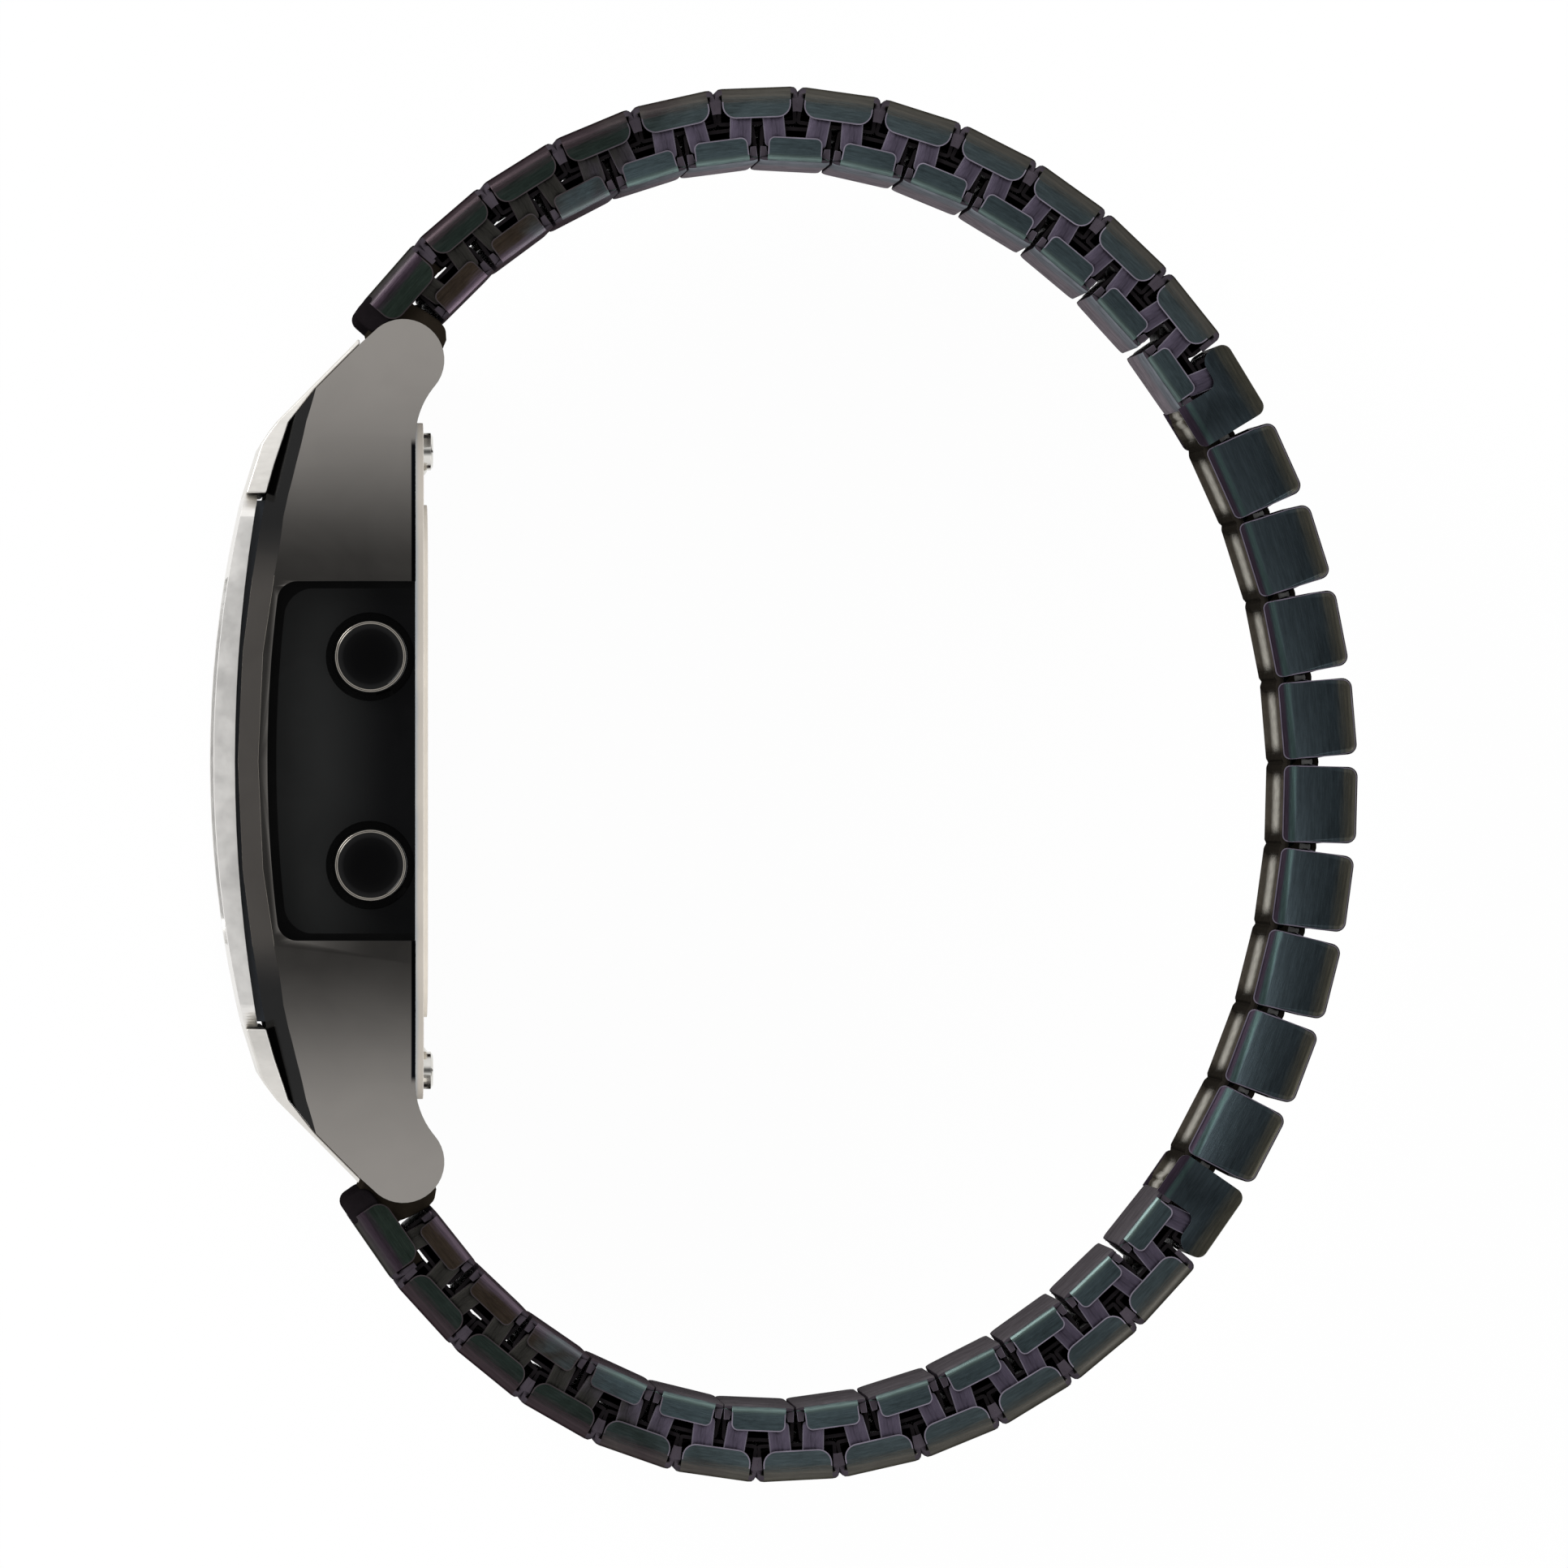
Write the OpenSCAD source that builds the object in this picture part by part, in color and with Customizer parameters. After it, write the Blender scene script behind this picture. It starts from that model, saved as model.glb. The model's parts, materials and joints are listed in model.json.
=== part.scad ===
// Digital wristwatch on a closed expansion bracelet, lying on its side.
// The origin is the centre of the case back's outer face. +X runs from the case back
// into the wrist loop, +Y to the 12 o'clock end and +Z to the 3 o'clock side.
// Sizes are in millimetres.

/* [Case] */
// Length of the case from lug tip to lug tip
case_len = 39.9; // [38:0.1:44]
// Width of the case across the push buttons
case_w = 34; // [31:0.5:38]
// Radius of the inward curve of each flank, seen from the front
flank_r = 30; // [24:1:60]
// Radius of the rounded lug tips, seen from the side
lug_r = 1.85; // [1.6:0.05:2]
// Height of the case body above the case back, at the middle of the display window
case_top = 7.95; // [7.6:0.05:8.4]
// Height of the rims along both sides of the case top, at their middle
rim_top = 8.62; // [8.5:0.02:8.64]
// Height of the edge where the case top turns down to the lugs
knee_top = 6.3; // [6:0.05:6.5]
// Height of the bevel between the flank and the case top
bevel = 1; // [0.6:0.05:1.05]
// Depth of the bay that holds the push buttons
bay_depth = 1.7; // [1.2:0.05:2]
// Length of the button bay
bay_len = 16.2; // [15:0.1:16.6]
// Height of the bay's arched upper edge, at its middle
bay_top = 7.3; // [7:0.05:7.35]
// Length of the hollow for the module
cavity_len = 24.4; // [23.8:0.1:24.6]
// Width of the hollow for the module
cavity_w = 23.6; // [23:0.1:24]

/* [Front] */
// Length of the raised bezel
bezel_len = 24.1; // [23:0.1:25]
// Width of the raised bezel
bezel_w = 31; // [28:0.5:32]
// Height of the bezel's crown above the case back
bezel_crown = 9.7; // [9.4:0.05:10.2]
// Radius of the bezel's arched front
bezel_r = 52; // [45:1:80]
// Thickness of the bezel at its middle
bezel_t = 0.95; // [0.9:0.01:0.98]
// Length of the window in the bezel
window_len = 16.6; // [15.6:0.1:17]
// Width of the window in the bezel
window_w = 22.6; // [21.6:0.1:23]
// Length of the part of the display that shows
view_len = 10.4; // [9:0.1:11]
// Width of the part of the display that shows
view_w = 18.6; // [17:0.1:19]

/* [Case back] */
// Thickness of the case back's rim
back_t = 0.42; // [0.35:0.01:0.5]
// How far the case back's middle panel stands proud of its rim
panel_t = 0.2; // [0.1:0.02:0.3]
// Length of the case back
back_len = 30.6; // [30:0.1:31]
// Width of the case back
back_w = 26; // [25.8:0.1:27]
// Length of the middle panel
panel_len = 23.2; // [21:0.1:24.5]
// Distance between the screws along the case
screw_span_y = 28; // [27.8:0.1:28.2]
// Distance between the screws across the case
screw_span_z = 20; // [18:0.1:22]

/* [Push buttons] */
// Distance between the two buttons on a side
button_span = 9.4; // [8.6:0.1:10]
// Height of the button axis above the case back
button_h = 2.65; // [2.6:0.05:2.9]
// Radius of a button's head
button_r = 1.65; // [1.4:0.05:1.7]
// Radius of the well round a button
well_r = 2; // [1.9:0.05:2.05]
// Thickness of the case wall between a button well and the module
well_wall = 2; // [1.8:0.05:2.2]
// Radius of a button's stem
stem_r = 0.75; // [0.6:0.05:0.8]
// How far a button travels when it is pressed
button_travel = 0.5; // [0.3:0.05:0.55]

/* [Display and module] */
// Thickness of the display glass
lcd_t = 1.6; // [1.4:0.05:1.7]
// Radius of the coin cell
cell_r = 10; // [9.5:0.1:10.1]
// Thickness of the coin cell
cell_t = 1.6; // [1.4:0.05:1.7]
// Thickness of the circuit board
board_t = 0.6; // [0.5:0.05:0.7]
// Height of a large digit
digit_h = 6; // [5:0.1:6.4]
// Width of a large digit
digit_w = 2.9; // [2.4:0.1:3.1]

/* [Bracelet loop] */
// Distance from the case back to the loop's widest line
loop_x = 15.7; // [15:0.1:17]
// How far the loop's centre hangs below the case centre
loop_drop = 1.05; // [0:0.05:1.4]
// Half height of the loop, to the bracelet's outer surface
loop_rise = 31.6; // [31:0.1:33]
// Depth of the loop behind its widest line
loop_back = 26.5; // [26:0.1:28]
// Depth of the upper half of the loop in front of its widest line
loop_front_upper = 25.7; // [25:0.1:26.5]
// Depth of the lower half of the loop in front of its widest line
loop_front_lower = 24.5; // [24:0.1:26.5]
// Distance from a spring bar to the middle of the end link, along the case
first_link_rise = 4; // [3.8:0.05:4.2]

/* [Bracelet links] */
// Width of the bracelet
band_w = 18; // [16:0.5:20]
// Thickness of the bracelet
band_t = 3.45; // [3.3:0.05:3.6]
// Expansion links in each half, between the end link and the joint link
expansion_links = 11; // [11:1:11]
// Closed links at the back of the loop
back_links = 9; // [9:1:9]
// Gap between two outer covers
cover_gap = 0.3; // [0.2:0.05:0.5]
// Thickness of the sheet that the covers are bent from
sheet_t = 0.3; // [0.2:0.05:0.35]
// Height of an outer cover's side flap
outer_flap = 1.38; // [1.3:0.02:1.45]
// Width of an outer cover's side flap
outer_flap_w = 3.15; // [2.9:0.05:3.3]
// Height of an inner cover's side flap
inner_flap = 1.2; // [1.1:0.05:1.3]
// Width of an inner cover along the bracelet
inner_cover_w = 3.1; // [2.9:0.05:3.15]
// Width of an inner cover's side flap
inner_flap_w = 2.45; // [2.2:0.05:2.75]
// Height of a closed link's side flap
back_flap = 3.15; // [2.9:0.05:3.2]
// Spacing of the closed links, against that of the expansion links
back_spacing = 1.06; // [1:0.01:1.08]
// Width of the two joint links between the expansion links and the closed links
joint_cover_w = 3.65; // [3.5:0.05:3.7]
// Wall of the sleeves inside the links
sleeve_t = 0.2; // [0.15:0.01:0.22]
// Width of a staple
staple_w = 0.98; // [0.8:0.02:1.04]
// Radius of the hinge pins at the back of the loop
pin_r = 0.3; // [0.2:0.02:0.32]

/* [Hidden] */
$fn = 48;
// Clearance between pieces that touch or slide
slip = 0.05;
// Overlap that makes cuts and unions clean
over = 0.01;

// Case sizes; heights are measured from the case back's outer face towards the dial
back_plane = panel_t + back_t;
bar_y = case_len / 2 - lug_r;
bar_h = 1.15;
bay_x = case_w / 2 - bay_depth;
well_floor_x = cavity_w / 2 + well_wall;
cavity_top = 7;
plate_edge_y = bezel_len / 2 + 0.03;
lug_inner = band_w / 2 + 0.15;
bar_tip_r = 0.4;
bar_r = 0.75;
knuckle_r = 1.15;
bar_tip_len = 1.6;
screw_r = 0.5;
screw_head_r = 0.85;
screw_head_t = 0.45;
screw_len = 2.6;
gasket_w = 0.5;
gasket_t = 0.4;
gasket_in = 0.3;

// Module heights, from the case back upwards
buzzer_r = 7;
buzzer_t = 0.2;
clip_t = 0.17;
clip_h = back_plane + buzzer_t + 0.06;
cell_h = clip_h + clip_t + slip;
frame_top = cell_h + cell_t + 0.65;
board_h = frame_top + slip;
chip_h = board_h + board_t;
lcd_h = cavity_top - 0.35 - lcd_t;
mask_t = 0.25;
mask_h = cavity_top - mask_t - slip;
module_w = 19.4;
module_len = 23.6;
lcd_w = 20.6;
lcd_len = 14.4;
strip_y = 6.2;
strip_w = 0.9;
crystal_seat = 1;
crystal_dip = 0.12;
segment_w = 0.5;
segment_t = 0.06;

// Bracelet layers, measured inwards from the outer surface
row_gap = 0.07;
sleeve_h = (band_t - 2 * sheet_t - row_gap - 1.5 * slip) / 2;
sleeve_end = band_w / 2 - 2 * sheet_t;
staple_t = 0.2;
leg_len = 3;
leg_r = 0.19;
leg_depth = sheet_t + slip + sleeve_h * 0.56;
inner_leg_depth = band_t - sheet_t - slip / 2 - sleeve_h * 0.56;
outer_leg_x = 0.72;
inner_leg_x = 0.92;
pin_depth = 2.3;
ear_r = pin_r + 0.28;
ear_split = 4;
// Rounding of the covers' ends, where the sheet curls down
outer_lip = 0.34;
closed_lip = 0.45;

// The loop's outline is four quarter ellipses that share the widest line and the height
link_count = 2 * (expansion_links + 2) + back_links;
joint_link = expansion_links + 1;
samples = 720;
half_w = band_w / 2;

function reach(t) = cos(t) >= 0 ? loop_back : sin(t) > 0 ? loop_front_upper : loop_front_lower;
function loop_point(t) = [loop_x + reach(t) * cos(t), loop_rise * sin(t) - loop_drop];
function loop_heading(t) = atan2(-loop_rise * cos(t), reach(t) * sin(t));
first_t = 180 - asin((bar_y + first_link_rise + loop_drop) / loop_rise);
last_t = asin((bar_y + first_link_rise - loop_drop) / loop_rise) - 180;
function sample_t(i) = first_t + (last_t - first_t) * i / samples;
function step_len(i) = norm(loop_point(sample_t(i + 1)) - loop_point(sample_t(i)));
// Pairs of distance along the loop and its angle, for lookup
walked = [for (i = 0, s = 0; i <= samples; s = s + step_len(i), i = i + 1) [s, sample_t(i)]];
loop_len = walked[samples][0];
// The joint links stand half way between the two spacings
pitch = loop_len / (2 * expansion_links + 1 + (back_links + 2) * back_spacing);
back_pitch = pitch * back_spacing;
cover_w = pitch - cover_gap;
closed_w = back_pitch - cover_gap - 0.3;
sleeve_w = outer_flap_w + 0.1;
inner_sleeve_w = inner_cover_w - 0.45;
function upper_place(k) = k * pitch + max(0, min(k - joint_link + 1, 1)) * (back_pitch - pitch) / 2
    + max(0, k - joint_link) * (back_pitch - pitch);
function place(k) = k <= (link_count - 1) / 2 ? upper_place(k) : loop_len - upper_place(link_count - 1 - k);
function link_t(k) = lookup(place(k), walked);
// A point given in link k's own frame: x along the bracelet, y outwards
function in_link(k, x, y) =
    let (t = link_t(k), a = loop_heading(t))
    loop_point(t) + [x * cos(a) - y * sin(a), x * sin(a) + y * cos(a)];

// Colours of the real finishes
black_steel = [0.06, 0.06, 0.065];
dark_ip = [0.13, 0.16, 0.17];
plum_ip = [0.2, 0.17, 0.21];
silver = [0.78, 0.77, 0.75];

// Shared shapes

module at_link(k) {
    p = in_link(k, 0, 0);
    translate([p[0], p[1], 0]) rotate([0, 0, loop_heading(link_t(k))]) children();
}

// Lays the head on its side: its own z is the dial's direction, x is 3 o'clock
module head() {
    rotate([0, -90, 0]) children();
}

// A box centred on x and y that stands on z
module plate(w, l, z0, z1) {
    translate([-w / 2, -l / 2, z0]) cube([w, l, z1 - z0]);
}

// A plate with round corners
module round_plate(w, l, r, z0, z1) {
    union() {
        plate(w - 2 * r, l, z0, z1);
        plate(w, l - 2 * r, z0, z1);
        for (sx = [-1, 1], sy = [-1, 1])
            translate([sx * (w / 2 - r), sy * (l / 2 - r), z0]) cylinder(r = r, h = z1 - z0);
    }
}

// Extrudes an outline in y and z across the case
module across(w) {
    rotate([90, 0, 90]) translate([0, 0, -w / 2]) linear_extrude(height = w) children();
}

// Points of an arc, from angle a0 to a1
function arc(c, r, a0, a1, n) =
    [for (i = [0 : n]) c + r * [cos(a0 + (a1 - a0) * i / n), sin(a0 + (a1 - a0) * i / n)]];

// The case and what closes its front

// Where the case top turns down, and its height there
knee_y = 15.3;
slope_y = 16.8;
slope_top = 5.1;
tip_y = bar_y + 0.75;
tip_top = 3.07;
top_points = [[0, case_top], [6, case_top - 0.14], [12, case_top - 0.62], [13.4, case_top - 1],
              [knee_y, knee_top], [slope_y, slope_top], [tip_y, tip_top]];
// The rims outside the seal rise above that line, up to just under the bezel
rim_points = [[0, rim_top], [4.9, rim_top - 0.22], [8.35, rim_top - 0.66], [11, rim_top - 1.09],
              [12, case_top - 0.62]];
rim_inner = bezel_w / 2 - 0.35;
edge_points = concat(rim_points, [for (i = [3 : 5]) top_points[i]]);
bevel_heights = bevel * [0.9, 0.9, 0.97, 0.95, 0.97, 0.95, 0.76, 0];
// Hollow curve between the lug and the flat of the case back
hollow_y = 14.5;
hollow_r = (pow(bar_y - hollow_y, 2) + pow(bar_h - back_plane, 2) - pow(lug_r, 2))
    / (2 * (lug_r - bar_h + back_plane));

function mirror_y(points) = [for (i = [len(points) - 1 : -1 : 0]) [-points[i][0], points[i][1]]];
function lifted(points, lift) = [for (p = points) [p[0], p[1] + lift]];

module side_outline() {
    hollow = [hollow_y, back_plane - hollow_r];
    turn = atan2(hollow[1] - bar_h, hollow_y - bar_y);
    half = concat(top_points, arc([bar_y, bar_h], lug_r, 47, turn, 20),
                  arc(hollow, hollow_r, turn + 180 + 2, 90, 8));
    polygon(concat(half, mirror_y(half)));
}

// Half width of the case at y: straight at the bay, then a curve inwards
flank_straight = bay_len / 2 - 0.4;
function flank_x(y) = case_w / 2 - flank_r + sqrt(pow(flank_r, 2) - pow(max(0, y - flank_straight), 2));

// The flanks: on each side the case lies inside two wide cylinders and a flat between them
module flank_space(inset) {
    c = case_w / 2 - inset - flank_r;
    intersection_for(s = [-1, 1]) {
        union() {
            plate(case_w - 2 * inset, 2 * flank_straight, -2, 12);
            for (e = [-1, 1]) intersection() {
                translate([s * c, e * flank_straight, -2])
                    cylinder(r = flank_r, h = 14, $fn = 180);
                translate([-30, e > 0 ? flank_straight - over : -30 + over - flank_straight, -2])
                    cube([60, 30, 14]);
            }
        }
    }
}

// The space under a bevel that follows the case top along each side and runs out before the lugs
module bevel_space(s) {
    root = sqrt(2);
    edge = [for (i = [0 : len(edge_points) - 1])
        [edge_points[i][0], (edge_points[i][1] - bevel_heights[i] + flank_x(edge_points[i][0])) / root]];
    half = concat(edge, [[slope_y + 0.4, 20], [40, 20], [40, -40]]);
    mirror([s < 0 ? 1 : 0, 0, 0]) rotate([0, 45, 0]) rotate([90, 0, 90])
        translate([0, 0, -40]) linear_extrude(height = 80) polygon(concat(half, mirror_y(half)));
}

// Outline of a button bay, seen from the side: its upper edge follows the bevel above it
module bay_outline() {
    bay_r = 0.9;
    arch_r = 60;
    arch = [0, bay_top - arch_r];
    corner = [bay_len / 2 - bay_r,
              arch[1] + sqrt(pow(arch_r - bay_r, 2) - pow(bay_len / 2 - bay_r, 2))];
    lean = atan2(corner[1] - arch[1], corner[0]);
    half = concat(arc(arch, arch_r, 90, lean, 8), arc(corner, bay_r, lean, 0, 8), [[bay_len / 2, -1]]);
    polygon(concat(half, mirror_y(half)));
}

module button_places() {
    for (s = [-1, 1], e = [-1, 1])
        translate([0, e * button_span / 2, button_h]) rotate([0, s * 90, 0]) children();
}

module screw_places() {
    for (sx = [-1, 1], sy = [-1, 1])
        translate([sx * screw_span_z / 2, sy * screw_span_y / 2, 0]) children();
}

module case_body() {
    rim_half = concat(rim_points, [[12, 5]]);
    color(black_steel) head() difference() {
        intersection() {
            union() {
                across(case_w + 2) side_outline();
                for (s = [-1, 1]) translate([s * (rim_inner + 1.5), 0, 0])
                    across(3) polygon(concat(rim_half, mirror_y(rim_half)));
            }
            flank_space(0);
            bevel_space(1);
            bevel_space(-1);
        }
        // Button bays
        for (s = [-1, 1]) translate([s * (bay_x + 5), 0, 0]) across(10) bay_outline();
        // Wells, stem holes and seats for the seals
        button_places() translate([0, 0, well_floor_x]) cylinder(r = well_r, h = 6);
        button_places() translate([0, 0, 9]) cylinder(r = stem_r + slip, h = 9);
        button_places() translate([0, 0, well_floor_x - 0.9]) cylinder(r = stem_r + 0.5, h = 3);
        // Seat of the case back, the hollow for the module and the display opening
        round_plate(back_w + 2 * slip, back_len + 2 * slip, 2.4 + slip, -3, back_plane);
        round_plate(cavity_w, cavity_len, 1.5, -2, cavity_top);
        round_plate(window_w - 2 * crystal_seat, window_len - 2 * crystal_seat, 1, 0, 12);
        // Groove for the gasket
        difference() {
            round_plate(cavity_w + 2 * (gasket_in + gasket_w), cavity_len + 2 * (gasket_in + gasket_w),
                2.3, -1, back_plane + gasket_t);
            round_plate(cavity_w + 2 * gasket_in, cavity_len + 2 * gasket_in, 1.8, -2, 12);
        }
        // Screw holes
        screw_places() translate([0, 0, -1]) cylinder(r = screw_r + slip, h = screw_len + 1.4);
        // Gap between the lugs for the end links, and the spring bar holes
        for (e = [-1, 1]) {
            translate([-lug_inner, e > 0 ? bar_y - 1.45 : -bar_y + 1.45 - 9, -5])
                cube([2 * lug_inner, 9, 20]);
            translate([0, e * bar_y, bar_h]) rotate([0, 90, 0])
                cylinder(r = bar_tip_r + slip, h = 2 * (lug_inner + bar_tip_len), center = true);
        }
    }
}

// Silver plates on the sloping ends of the case, from the bezel to the lug tips
module lug_plates() {
    lower = lifted([for (i = [3 : 6]) top_points[i]], over);
    outline = concat(
        [[tip_y + 0.22, tip_top + 0.1], [tip_y, tip_top + 0.27], [15.3, 6.87], [14.85, 7.22], [14.3, 7.57],
         [plate_edge_y, 8.27], [plate_edge_y, case_top - 0.61]], lower);
    color(silver) head() difference() {
        intersection() {
            across(case_w + 2) for (m = [0, 1]) mirror([m, 0]) polygon(outline);
            flank_space(0.55);
        }
        for (e = [-1, 1])
            translate([-lug_inner, e > 0 ? bar_y - 1.2 : -bar_y + 1.2 - 9, -5])
                cube([2 * lug_inner, 9, 20]);
    }
}

module bezel() {
    // The underside is a flatter arch, so the sides taper a little towards the ends
    seat = bezel_crown - bezel_t;
    under_r = bezel_r + 18;
    color(silver) head() difference() {
        intersection() {
            round_plate(bezel_w, bezel_len, 1.2, 5, 12);
            translate([0, 0, bezel_crown - bezel_r]) rotate([0, 90, 0])
                cylinder(r = bezel_r, h = case_w, center = true, $fn = 360);
        }
        translate([0, 0, seat - under_r]) rotate([0, 90, 0])
            cylinder(r = under_r, h = case_w + 2, center = true, $fn = 360);
        round_plate(window_w + 2 * slip, window_len + 2 * slip, 1.4, 0, 12);
    }
}

// Dark seal between the case top and the bezel, which shows as a seam
module bezel_seal() {
    rail_w = 1.1;
    seat = bezel_crown - bezel_t;
    under_r = bezel_r + 18;
    color([0.03, 0.04, 0.045]) head() for (s = [-1, 1]) intersection() {
        translate([s * (bezel_w / 2 - 0.4 - rail_w / 2), 0, 0])
            plate(rail_w, bezel_len - 0.6, 6, 12);
        difference() {
            translate([0, 0, seat - over - under_r]) rotate([0, 90, 0])
                cylinder(r = under_r, h = case_w, center = true, $fn = 360);
            across(case_w + 2) polygon(concat(
                lifted(top_points, over), [[14, 0], [-14, 0]], mirror_y(lifted(top_points, over))));
        }
    }
}

module crystal() {
    color([0.75, 0.8, 0.82, 0.35]) head() intersection() {
        round_plate(window_w, window_len, 1.35, case_top + slip, 12);
        translate([0, 0, bezel_crown - crystal_dip - bezel_r]) rotate([0, 90, 0])
            cylinder(r = bezel_r, h = case_w, center = true, $fn = 360);
    }
}

// The display and the module behind it

module dial_mask() {
    color([0.04, 0.04, 0.045]) head() difference() {
        round_plate(cavity_w - 0.8, cavity_len - 0.8, 1.2, mask_h, mask_h + mask_t);
        round_plate(view_w, view_len, 0.6, 0, 12);
    }
}

module lcd_glass() {
    color([0.56, 0.6, 0.53]) head() plate(lcd_w, lcd_len, lcd_h, lcd_h + lcd_t);
}

// One bar of a digit, pointed at both ends
module segment(len) {
    w = segment_w / 2;
    h = len / 2;
    polygon([[-h, 0], [w - h, w], [h - w, w], [h, 0], [h - w, -w], [w - h, -w]]);
}

// Bars that are lit in each figure, in the order a to g
lit = [[1, 1, 1, 1, 1, 1, 0], [0, 1, 1, 0, 0, 0, 0], [1, 1, 0, 1, 1, 0, 1], [1, 1, 1, 1, 0, 0, 1],
       [0, 1, 1, 0, 0, 1, 1], [1, 0, 1, 1, 0, 1, 1], [1, 0, 1, 1, 1, 1, 1], [1, 1, 1, 0, 0, 0, 0],
       [1, 1, 1, 1, 1, 1, 1], [1, 1, 1, 1, 0, 1, 1]];

module figure(n, w, h) {
    bars = [[0, h / 2, 0], [w / 2, h / 4, 90], [w / 2, -h / 4, 90], [0, -h / 2, 0],
            [-w / 2, -h / 4, 90], [-w / 2, h / 4, 90], [0, 0, 0]];
    for (i = [0 : 6]) if (lit[n][i] == 1)
        translate([bars[i][0], bars[i][1]]) rotate(bars[i][2])
            segment((bars[i][2] == 0 ? w : h / 2) - 0.12);
}

module lcd_digits() {
    z0 = lcd_h + lcd_t + 0.005;
    places = [[-6.9, 1], [-3.1, 0], [1.7, 0], [5.5, 8]];
    color([0.08, 0.09, 0.09]) head() translate([0, -1, z0]) linear_extrude(height = segment_t) {
        for (p = places) translate([p[0], 0]) figure(p[1], digit_w - segment_w, digit_h - segment_w);
        for (y = [-1, 1]) translate([-0.7, y * 1.1]) square(0.55, center = true);
        for (x = [-6.2, -3.8, -1.4]) translate([x, digit_h / 2 + 1.05]) square([1.7, 0.35], center = true);
    }
}

module light_panel() {
    color([0.85, 0.9, 0.85]) head()
        plate(lcd_w - 2, 2 * strip_y - strip_w - 0.6, lcd_h - 0.4, lcd_h - slip);
}

// Rubber strips that carry the signals from the board to the glass
module contact_strips() {
    color([0.8, 0.55, 0.6]) head() for (s = [-1, 1])
        translate([0, s * strip_y, 0]) plate(lcd_w - 3, strip_w, chip_h + slip, lcd_h - slip);
}

module display_frame() {
    color([0.9, 0.9, 0.88]) head() difference() {
        round_plate(cavity_w - 0.6, module_len, 1.4, chip_h + 0.1, mask_h - slip);
        plate(lcd_w + 0.1, lcd_len + 0.1, lcd_h - slip, 12);
        plate(lcd_w - 1.2, lcd_len - 1, 0, 12);
        // Room for the button contacts
        for (s = [-1, 1]) translate([s * (cavity_w / 2), 0, 0])
            plate(4.4, button_span + 4, 0, chip_h + 0.5);
    }
}

module circuit_board() {
    color([0.1, 0.32, 0.2]) head() difference() {
        plate(module_w, module_len - 0.4, board_h, board_h + board_t);
        for (sy = [-1, 1]) translate([0, sy * 10.6, 0]) cylinder(r = 0.5, h = 12);
    }
}

// Sealed chip, timing crystal and small parts soldered to the board
module board_parts() {
    z = chip_h + over;
    color([0.12, 0.12, 0.13]) head() {
        translate([0, 0, z]) cylinder(r = 2.6, h = 0.45);
        translate([5, 2.4, z + 0.29]) rotate([0, 90, 0]) cylinder(r = 0.28, h = 3.2);
        for (x = [-7, -5.6, -4.2]) translate([x, -3, 0]) plate(0.8, 1.4, z, z + 0.4);
        for (x = [4.4, 6, 7.6]) translate([x, -3.4, 0]) plate(1, 0.5, z, z + 0.35);
    }
}

module module_frame() {
    color([0.2, 0.2, 0.21]) head() difference() {
        plate(module_w + 1.4, module_len, cell_h, frame_top);
        translate([0, 0, -1]) cylinder(r = cell_r + 0.12, h = cell_h + cell_t + 1 + slip, $fn = 120);
        // Room for the clip's arms and the button contacts
        for (s = [-1, 1]) {
            translate([s * (module_w / 2 + 0.7), 0, 0]) plate(2 * 0.65, 5.4, 0, 12);
            for (e = [-1, 1])
                translate([s * (module_w / 2 + 0.7), e * button_span / 2, 0]) plate(2.5, 3.4, 0, 12);
        }
    }
}

module battery() {
    rim = 0.35;
    color(silver) head() union() {
        translate([0, 0, cell_h + rim]) cylinder(r = cell_r, h = cell_t - rim, $fn = 120);
        translate([0, 0, cell_h]) cylinder(r = cell_r - 0.8, h = cell_t, $fn = 120);
    }
}

module battery_clip() {
    arm_x = module_w / 2 + 0.7;
    color([0.8, 0.72, 0.5]) head() union() {
        plate(2 * arm_x, 4.6, clip_h, clip_h + clip_t);
        for (s = [-1, 1]) translate([s * (arm_x - clip_t / 2), 0, 0])
            plate(clip_t, 4.6, clip_h, frame_top - 0.3);
    }
}

module buzzer() {
    color([0.75, 0.62, 0.35]) head() translate([0, 0, back_plane + slip / 2]) union() {
        cylinder(r = buzzer_r, h = buzzer_t / 2);
        cylinder(r = buzzer_r - 2, h = buzzer_t);
    }
}

// Sprung fingers on the board's edge that the button stems bend
contact_x = 9.95;
contact_t = 0.14;
module button_contacts() {
    color([0.8, 0.72, 0.5]) head() for (s = [-1, 1], e = [-1, 1])
        translate([s * contact_x, e * button_span / 2, 0]) union() {
            plate(contact_t, 1.6, button_h - 1, board_h + board_t + contact_t + slip);
            translate([-s * 0.45, 0, 0])
                plate(0.9 + contact_t, 1.6, board_h + board_t + over, board_h + board_t + contact_t);
        }
}

// The case back and what seals and holds it

module case_back() {
    color(silver) head() difference() {
        union() {
            round_plate(back_w, back_len, 2.4, panel_t, back_plane);
            round_plate(back_w - 1.6, panel_len, 3, 0, panel_t + over);
        }
        screw_places() translate([0, 0, -1]) cylinder(r = screw_r + slip, h = 4);
    }
}

module back_gasket() {
    outside = 2 * (gasket_in + gasket_w) - slip;
    inside = 2 * gasket_in + slip;
    color([0.1, 0.1, 0.1]) head() difference() {
        round_plate(cavity_w + outside, cavity_len + outside, 2.25,
            back_plane + over, back_plane + gasket_t - slip);
        round_plate(cavity_w + inside, cavity_len + inside, 1.85, -2, 12);
    }
}

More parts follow.
